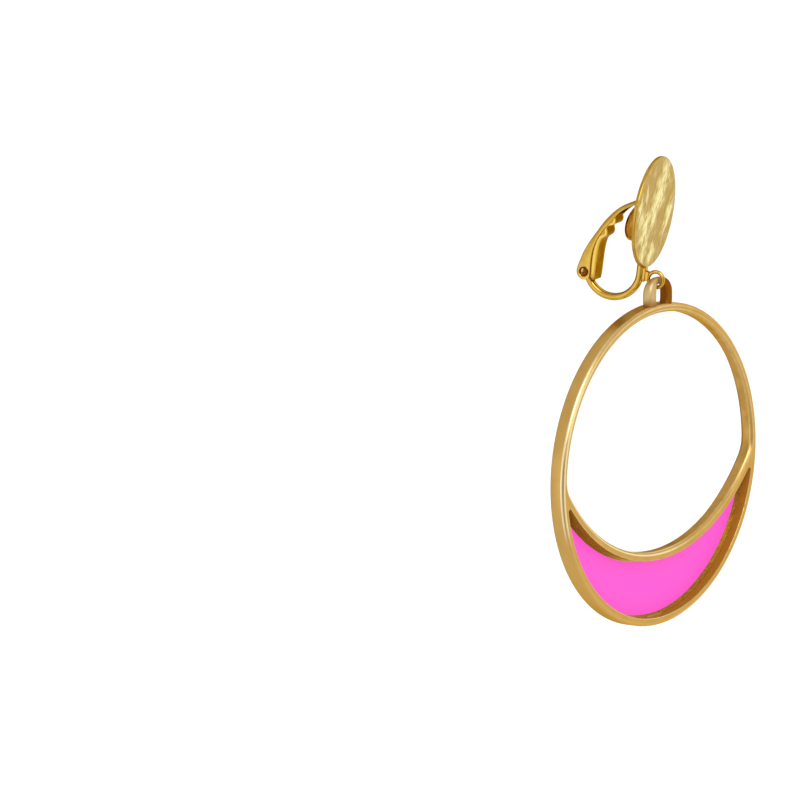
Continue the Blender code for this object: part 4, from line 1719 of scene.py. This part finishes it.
    def mirrored(self, points: list[Vector]) -> list[Vector]:
        """The points mirrored in X, in reverse order."""
        return [Vector((-point.x, point.y, point.z)) for point in reversed(points)]

    def arc_points(self, swing: float, radius: float) -> list[Vector]:
        """Points of an arc about the bar's centre, from left to right, without its ends.

        Args:
            swing: How far it swings to each side.
            radius: Its radius.

        Returns:
            The points.
        """
        steps = self.steps // 2
        points = []
        for i in range(1, steps):
            angle = -swing + 2 * swing * i / steps
            points.append(Vector((radius * math.sin(angle), 0, self.arc_z - radius * math.cos(angle))))
        return points

    def opening(self) -> bpy.types.Object:
        """The plate that cuts the big opening: the oval above, the bar's arc below, round corners."""
        inset = self.band + self.bar_fillet
        angle = self.corner_angle(inset, self.arc_radius - self.bar - self.bar_fillet)
        corner = self.oval(angle, inset)
        down = corner - Vector((0, 0, self.arc_z))
        outward = self.oval(angle, 0) - corner
        round_corner = self.fillet(corner, down, outward, self.bar_fillet, self.bar_fillet_steps)
        span = math.pi - 2 * angle
        top = [self.oval(angle + span * i / self.steps, self.band) for i in range(1, self.steps)]
        bar = self.arc_points(math.atan2(down.x, -down.z), self.arc_radius - self.bar)
        outline = round_corner + top + self.mirrored(round_corner) + bar
        return self.slab("opening", outline, -self.depth, self.depth)

    def cell(self, grow: float, front: float, back: float) -> bpy.types.Object:
        """The plate that cuts the crescent cell, or fills it.

        Args:
            grow: How far its outline lies outside the cell's.
            front: Where the plate starts.
            back: Where it ends.

        Returns:
            The plate.
        """
        inset = self.cell_rim + self.tip_radius
        angle = self.corner_angle(inset, self.arc_radius + self.tip_radius)
        tip = self.oval(angle, inset)
        up = Vector((0, 0, self.arc_z)) - tip
        end = self.fillet(tip, self.oval(angle, 0) - tip, up, self.tip_radius + grow, self.tip_steps)
        arc = self.arc_points(math.atan2(tip.x, self.arc_z - tip.z), self.arc_radius - grow)
        span = math.pi + 2 * angle
        steps = self.steps // 2
        angles = [-math.pi - angle + span * i / steps for i in range(1, steps)]
        bottom = [self.oval(place, self.cell_rim - grow) for place in angles]
        outline = end + list(reversed(arc)) + self.mirrored(end) + bottom
        return self.slab("cell", outline, front, back)

    def body(self) -> bpy.types.Object:
        """The oval band, the bar and the closed cell."""
        half = self.depth / 2
        floor = -half + self.enamel_depth + self.enamel_thickness
        outline = [self.oval(math.tau * i / self.steps, 0.0) for i in range(self.steps)]
        body = self.slab("hoop_band", outline, -half, half)
        for _ in Zone:
            body.data.materials.append(None)
        cut(body, self.opening())
        with editing(body, Part.EDGE):
            choose_creases(body, lambda place: place.y < -half + TOUCH)
            bevel_chosen(self.shoulder * self.chamfer_share, 1)
            choose_creases(body, lambda place: place.y < -half + self.shoulder, CHAMFER_EDGE, SQUARE_EDGE)
            bevel_chosen(self.line_width, self.line_steps, Zone.EDGE)
            choose_creases(body, lambda place: place.y > half - TOUCH and self.in_band(place))
            bevel_chosen(self.opening_back, 1)
            choose_creases(body, lambda place: place.y > half - TOUCH)
            bevel_chosen(self.back_edge, self.back_edge_steps)
        cut(body, self.cell(0.0, -self.depth, floor))
        cut(body, self.cell(self.ledge_step, -self.depth, -half + self.ledge_depth))
        with editing(body, Part.EDGE):
            choose_creases(body, lambda place: place.y < -half + SPECK)
            bevel_chosen(self.cell_edge, self.line_steps, Zone.EDGE)
        return body

    def in_cell(self, place: Vector) -> bool:
        """Whether a place lies in the cell or on its walls.

        Args:
            place: The place, from where the hoop's own axes start.

        Returns:
            True in the cell or on its walls.
        """
        margin = self.cell_rim - 2 * self.ledge_step - self.cell_edge
        below_bar = self.from_arc(place) > -2 * self.ledge_step - self.cell_edge
        deep = -self.depth / 2 + self.cell_edge < place.y < self.depth / 2 - self.back_edge
        return self.oval_share(place, margin) < 1 and below_bar and deep

    def dress_zones(self, body: bpy.types.Object, finishes: dict[Zone, GoldFinish]) -> None:
        """Gives the edges, with their painted highlight, and the cell's walls, with their painted shade,
        their finishes, after the body has its own.

        Args:
            body: The finished hoop, in place.
            finishes: The finish of each zone.
        """
        for zone, finish in finishes.items():
            body.data.materials[zone.value] = finish.material()
        ledge_y = self.ledge_depth - self.depth / 2
        for face in body.data.polygons:
            place = face.center - self.body_place
            in_opening = self.from_arc(place) < self.wall_margin - self.bar and self.in_band(place)
            # Painted shade on the opening's inner wall.
            if in_opening and abs(face.normal.y) < self.wall_slant:
                face.material_index = Zone.WALL.value
            # The cell gets painted shade, its ledge a finish of its own.
            elif face.material_index != Zone.EDGE.value and self.in_cell(place):
                on_ledge = place.y > ledge_y - TOUCH and face.normal.z > self.ledge_slant
                face.material_index = Zone.LEDGE.value if on_ledge else Zone.CELL.value
                if abs(place.y - ledge_y) < TOUCH and face.normal.y < self.ledge_facing:
                    face.material_index = Zone.EDGE.value
        paint(body, "painted_light", lambda place: self.arc_painted_light(place - self.body_place))
        paint(body, "painted_highlight", lambda place: self.edge_shine(place - self.body_place))

    def near_arc(self, place: Vector) -> bool:
        """Whether a place lies on the cell's upper wall or its edge."""
        return abs(self.from_arc(place)) < 2 * self.ledge_step

    def arc_painted_light(self, place: Vector) -> float:
        """The painted light on the cell's upper wall at a place, brighter from left to right."""
        return (place.x - self.lit_start) / self.lit_length if self.near_arc(place) else 0.0

    def edge_shine(self, place: Vector) -> float:
        """The painted highlight on the front edge at a place, from 0 to 1.

        Args:
            place: The place, from where the hoop's own axes start.

        Returns:
            The brightness.
        """
        right = clamp((place.x - self.highlight_start) / self.highlight_length)
        height = place.z - self.centre_z
        painted = 1 - self.top_dull * clamp((height - self.top_start) / self.top_fade)
        if self.oval_share(place, self.cell_rim / 2) > 1:
            low = clamp((height + self.shoulder_end) / self.shoulder_fade)
            return painted * max(low * (1 - self.outer_shine * right), self.outer_shine * right)
        if self.near_arc(place):
            return self.arc_shine
        return painted * (1 - self.inner_dull * right)

    def bail(self) -> bpy.types.Object:
        """The ring on top of the hoop."""
        half_deep = self.bail_depth / 2
        outline = rounded_rectangle(self.bail_width / 2, half_deep, self.bail_edge, self.bail_edge_steps)
        frames = []
        for i in range(RING_STEPS + 1):
            angle = -math.pi / 2 + self.bail_foot + (math.tau - 2 * self.bail_foot) * i / RING_STEPS
            outward = Vector((math.cos(angle), 0, math.sin(angle)))
            crown = max(0.0, outward.z) ** self.crown_power
            narrower = 1 + (self.bail_crown / self.bail_width - 1) * crown
            width = (1 - self.bail_uneven * outward.x) * narrower
            depth = 1 + (self.bail_crown_depth / self.bail_depth - 1) * crown
            x = math.copysign(abs(outward.x) ** self.bail_squareness, outward.x)
            z = math.copysign(abs(outward.z) ** self.bail_squareness, outward.z)
            place = (self.bail_aside + x * self.bail_half_wide, 0, (z - 1) * self.bail_radius)
            frames.append(frame_at(place, outward * width, (0, depth, 0), (outward.z, 0, -outward.x)))
        bail = loft("bail", outline, frames)
        paint(bail, "painted_light", self.bail_painted_light)
        return bail

    def bail_painted_light(self, place: Vector) -> float:
        """The bail's painted light: lit on its left arm and the outside of its right, with painted shade on
        the right arm's inside and at the foot.

        Args:
            place: The place, from the swing axis.

        Returns:
            The brightness.
        """
        x = place.x - self.bail_aside
        reach = self.bail_radius * self.left_lit_reach
        left = clamp((reach - x) / (2 * reach))
        outside = ((x - self.bail_half_wide) / self.bail_width - self.arm_start) / self.arm_length
        right = self.arm_shine * clamp(outside)
        foot = (place.z / self.bail_radius - self.foot_start) / self.foot_length
        return max(left, right) * max(self.foot_least, clamp(foot))

    def enamel(self) -> bpy.types.Object:
        """The crescent of enamel."""
        front = -self.depth / 2 + self.enamel_depth
        enamel = self.cell(-self.enamel_gap, front, front + self.enamel_thickness)
        enamel.name = "enamel_crescent"
        return enamel

    def build(self, finishes: Finishes) -> None:
        """Builds and dresses hoop, bail and enamel.

        Args:
            finishes: All the finishes.
        """
        body, bail, enamel = self.body(), self.bail(), self.enamel()
        bail.data.transform(Matrix.Translation(self.swing))
        for piece in (body, enamel):
            piece.data.transform(Matrix.Translation(self.body_place))
        for piece in (body, bail, enamel):
            smooth(piece)
        dress(body, finishes.satin, Body.HOOP, "hoop_frame")
        zones = {
            Zone.EDGE: finishes.edge,
            Zone.CELL: finishes.cell,
            Zone.LEDGE: finishes.ledge,
            Zone.WALL: finishes.wall,
        }
        self.dress_zones(body, zones)
        dress(bail, finishes.bail, Body.HOOP, "hoop_frame")
        dress(enamel, finishes.enamel, Body.HOOP, "enamel_inlay")
        enamel.visible_glossy = False
        enamel.visible_diffuse = False


# Studio


@dataclass(frozen=True)
class Softbox:
    """A large soft light that faces the earring."""

    name: str
    place: Point
    width: float
    height: float
    power: float
    aim: Point = (0.0, 0.0, -0.03)

    def place_light(self) -> None:
        """Adds the light."""
        data = bpy.data.lights.new(self.name, "AREA")
        data.shape = "RECTANGLE"
        data.size = self.width
        data.size_y = self.height
        data.energy = self.power
        light = bpy.data.objects.new(self.name, data)
        light.location = self.place
        away = Vector(self.aim) - Vector(self.place)
        light.rotation_euler = away.to_track_quat("-Z", "Y").to_euler()
        bpy.context.scene.collection.objects.link(light)


@dataclass(frozen=True)
class Glow:
    """A part of the room about a middle: where it starts, where it is full, and how bright it is."""

    middle: Point
    start: float
    full: float
    strength: float


@dataclass
class Studio:
    """Camera, floor, light and surroundings."""

    azimuth: float = math.radians(-55.58)
    elevation: float = math.radians(9.23)
    roll: float = math.radians(0.64)
    distance: float = 2.0
    pixel: float = 0.1877 * MM
    aim: Point = (1.5 * MM, -2.0 * MM, -30.0 * MM)
    aim_pixel: tuple[float, float] = (638.2, 384.5)
    sensor: float = 36.0
    nearest: float = 0.1
    farthest: float = 20.0
    floor_z: float = -0.14
    floor_radius: float = 12.0
    floor_points: int = 96
    floor_shade: float = 0.95
    key_light: Softbox = Softbox("key light", (-0.7, -0.9, 0.9), 0.9, 0.9, 8.0)
    backdrop: float = 1.06
    room_colour: Colour = (1, 0.985, 0.96)
    low_z: float = -0.7
    high_z: float = 0.8
    low_strength: float = 0.85
    high_strength: float = 0.72
    glows: tuple[Glow, ...] = (
        Glow((0.87, -0.48, -0.1), 0.3, 0.9, 1.3),
        Glow((0.815, -0.556, -0.16), 0.93, 0.99, 0.85),
        Glow((0.45, 0.87, 0.1), 0.68, 0.88, 0.45),
        Glow((-0.6, -0.78, -0.16), 0.88, 0.98, 0.5),
        Glow((-0.97, 0.2, -0.1), 0.9, 0.98, 1.6),
    )

    def camera(self) -> None:
        """Puts the camera where the photograph was taken from."""
        back = Vector(
            (
                math.sin(self.azimuth) * math.cos(self.elevation),
                -math.cos(self.azimuth) * math.cos(self.elevation),
                math.sin(self.elevation),
            )
        )
        right = Vector((0, 0, 1)).cross(back).normalized()
        level = Matrix((right, back.cross(right), back)).transposed()
        straight = level @ Matrix.Rotation(self.roll, 3, "Z")
        middle = IMAGE_SIZE / 2
        focal = self.distance / self.pixel
        across = (self.aim_pixel[0] - middle) / focal
        up = (middle - self.aim_pixel[1]) / focal
        ray = Vector((across, up, -1.0)).normalized()
        offset = Vector((0, 0, -1)).rotation_difference(ray).to_matrix()
        data = bpy.data.cameras.new("camera")
        data.sensor_width = self.sensor
        data.lens = focal * -ray.z * data.sensor_width / IMAGE_SIZE
        data.clip_start = self.nearest
        data.clip_end = self.farthest
        camera = bpy.data.objects.new("camera", data)
        turn = straight @ offset.transposed()
        camera.matrix_world = Matrix.Translation(Vector(self.aim) + back * self.distance) @ turn.to_4x4()
        bpy.context.scene.collection.objects.link(camera)
        bpy.context.scene.camera = camera

    def floor(self) -> None:
        """The pale floor below the hanging earring."""
        bpy.ops.object.select_all(action="DESELECT")
        place = (0, 0, self.floor_z)
        bpy.ops.mesh.primitive_circle_add(
            vertices=self.floor_points, radius=self.floor_radius, fill_type="NGON", location=place
        )
        floor = bpy.context.object
        floor.name = "floor"
        made = bpy.data.materials.new("pale floor")
        graph = Graph(made)
        shade = self.floor_shade
        shader = graph.node("ShaderNodeBsdfDiffuse", {}, {"Color": (shade, shade, shade, 1)})
        graph.node("ShaderNodeOutputMaterial", {}, {"Surface": shader.outputs[0]})
        floor.data.materials.append(made)
        floor.visible_glossy = False

    def surroundings(self) -> None:
        """The room as the gold mirrors it, brighter in some parts, and plain white to the camera."""
        world = bpy.data.worlds.new("studio")
        bpy.context.scene.world = world
        graph = Graph(world)
        direction = graph.node("ShaderNodeTexCoord", {}, {}).outputs["Generated"]
        parts = graph.node("ShaderNodeSeparateXYZ", {}, {"Vector": direction})
        x, y, z = (Wire(graph, output) for output in parts.outputs)
        strength = graph.span(z, self.low_z, self.high_z, self.low_strength, self.high_strength)
        for glow in self.glows:
            towards = x * glow.middle[0] + y * glow.middle[1] + z * glow.middle[2]
            strength = strength * graph.span(towards, glow.start, glow.full, 1.0, glow.strength)
        room = graph.node("ShaderNodeBackground", {}, {"Color": (*self.room_colour, 1), "Strength": strength})
        white = graph.node("ShaderNodeBackground", {}, {"Color": (1, 1, 1, 1), "Strength": self.backdrop})
        mirrored = graph.node("ShaderNodeLightPath", {}, {}).outputs["Is Glossy Ray"]
        mix = graph.node("ShaderNodeMixShader", {}, {0: mirrored, 1: white.outputs[0], 2: room.outputs[0]})
        graph.node("ShaderNodeOutputWorld", {}, {"Surface": mix.outputs[0]})

    def build(self) -> None:
        """Sets the studio up."""
        self.camera()
        self.floor()
        self.surroundings()
        self.key_light.place_light()
        bpy.context.scene.view_settings.view_transform = "Standard"


def main() -> None:
    """Builds the earring's looks and the studio."""
    logging.basicConfig(level=logging.INFO, format="%(name)s: %(message)s")
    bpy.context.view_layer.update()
    Studio().build()
    finishes = Finishes()
    for assembly in (HammeredDisc(), ClipFrame(), ClipLever(), Hoop()):
        assembly.build(finishes)


if __name__ == "__main__":
    main()
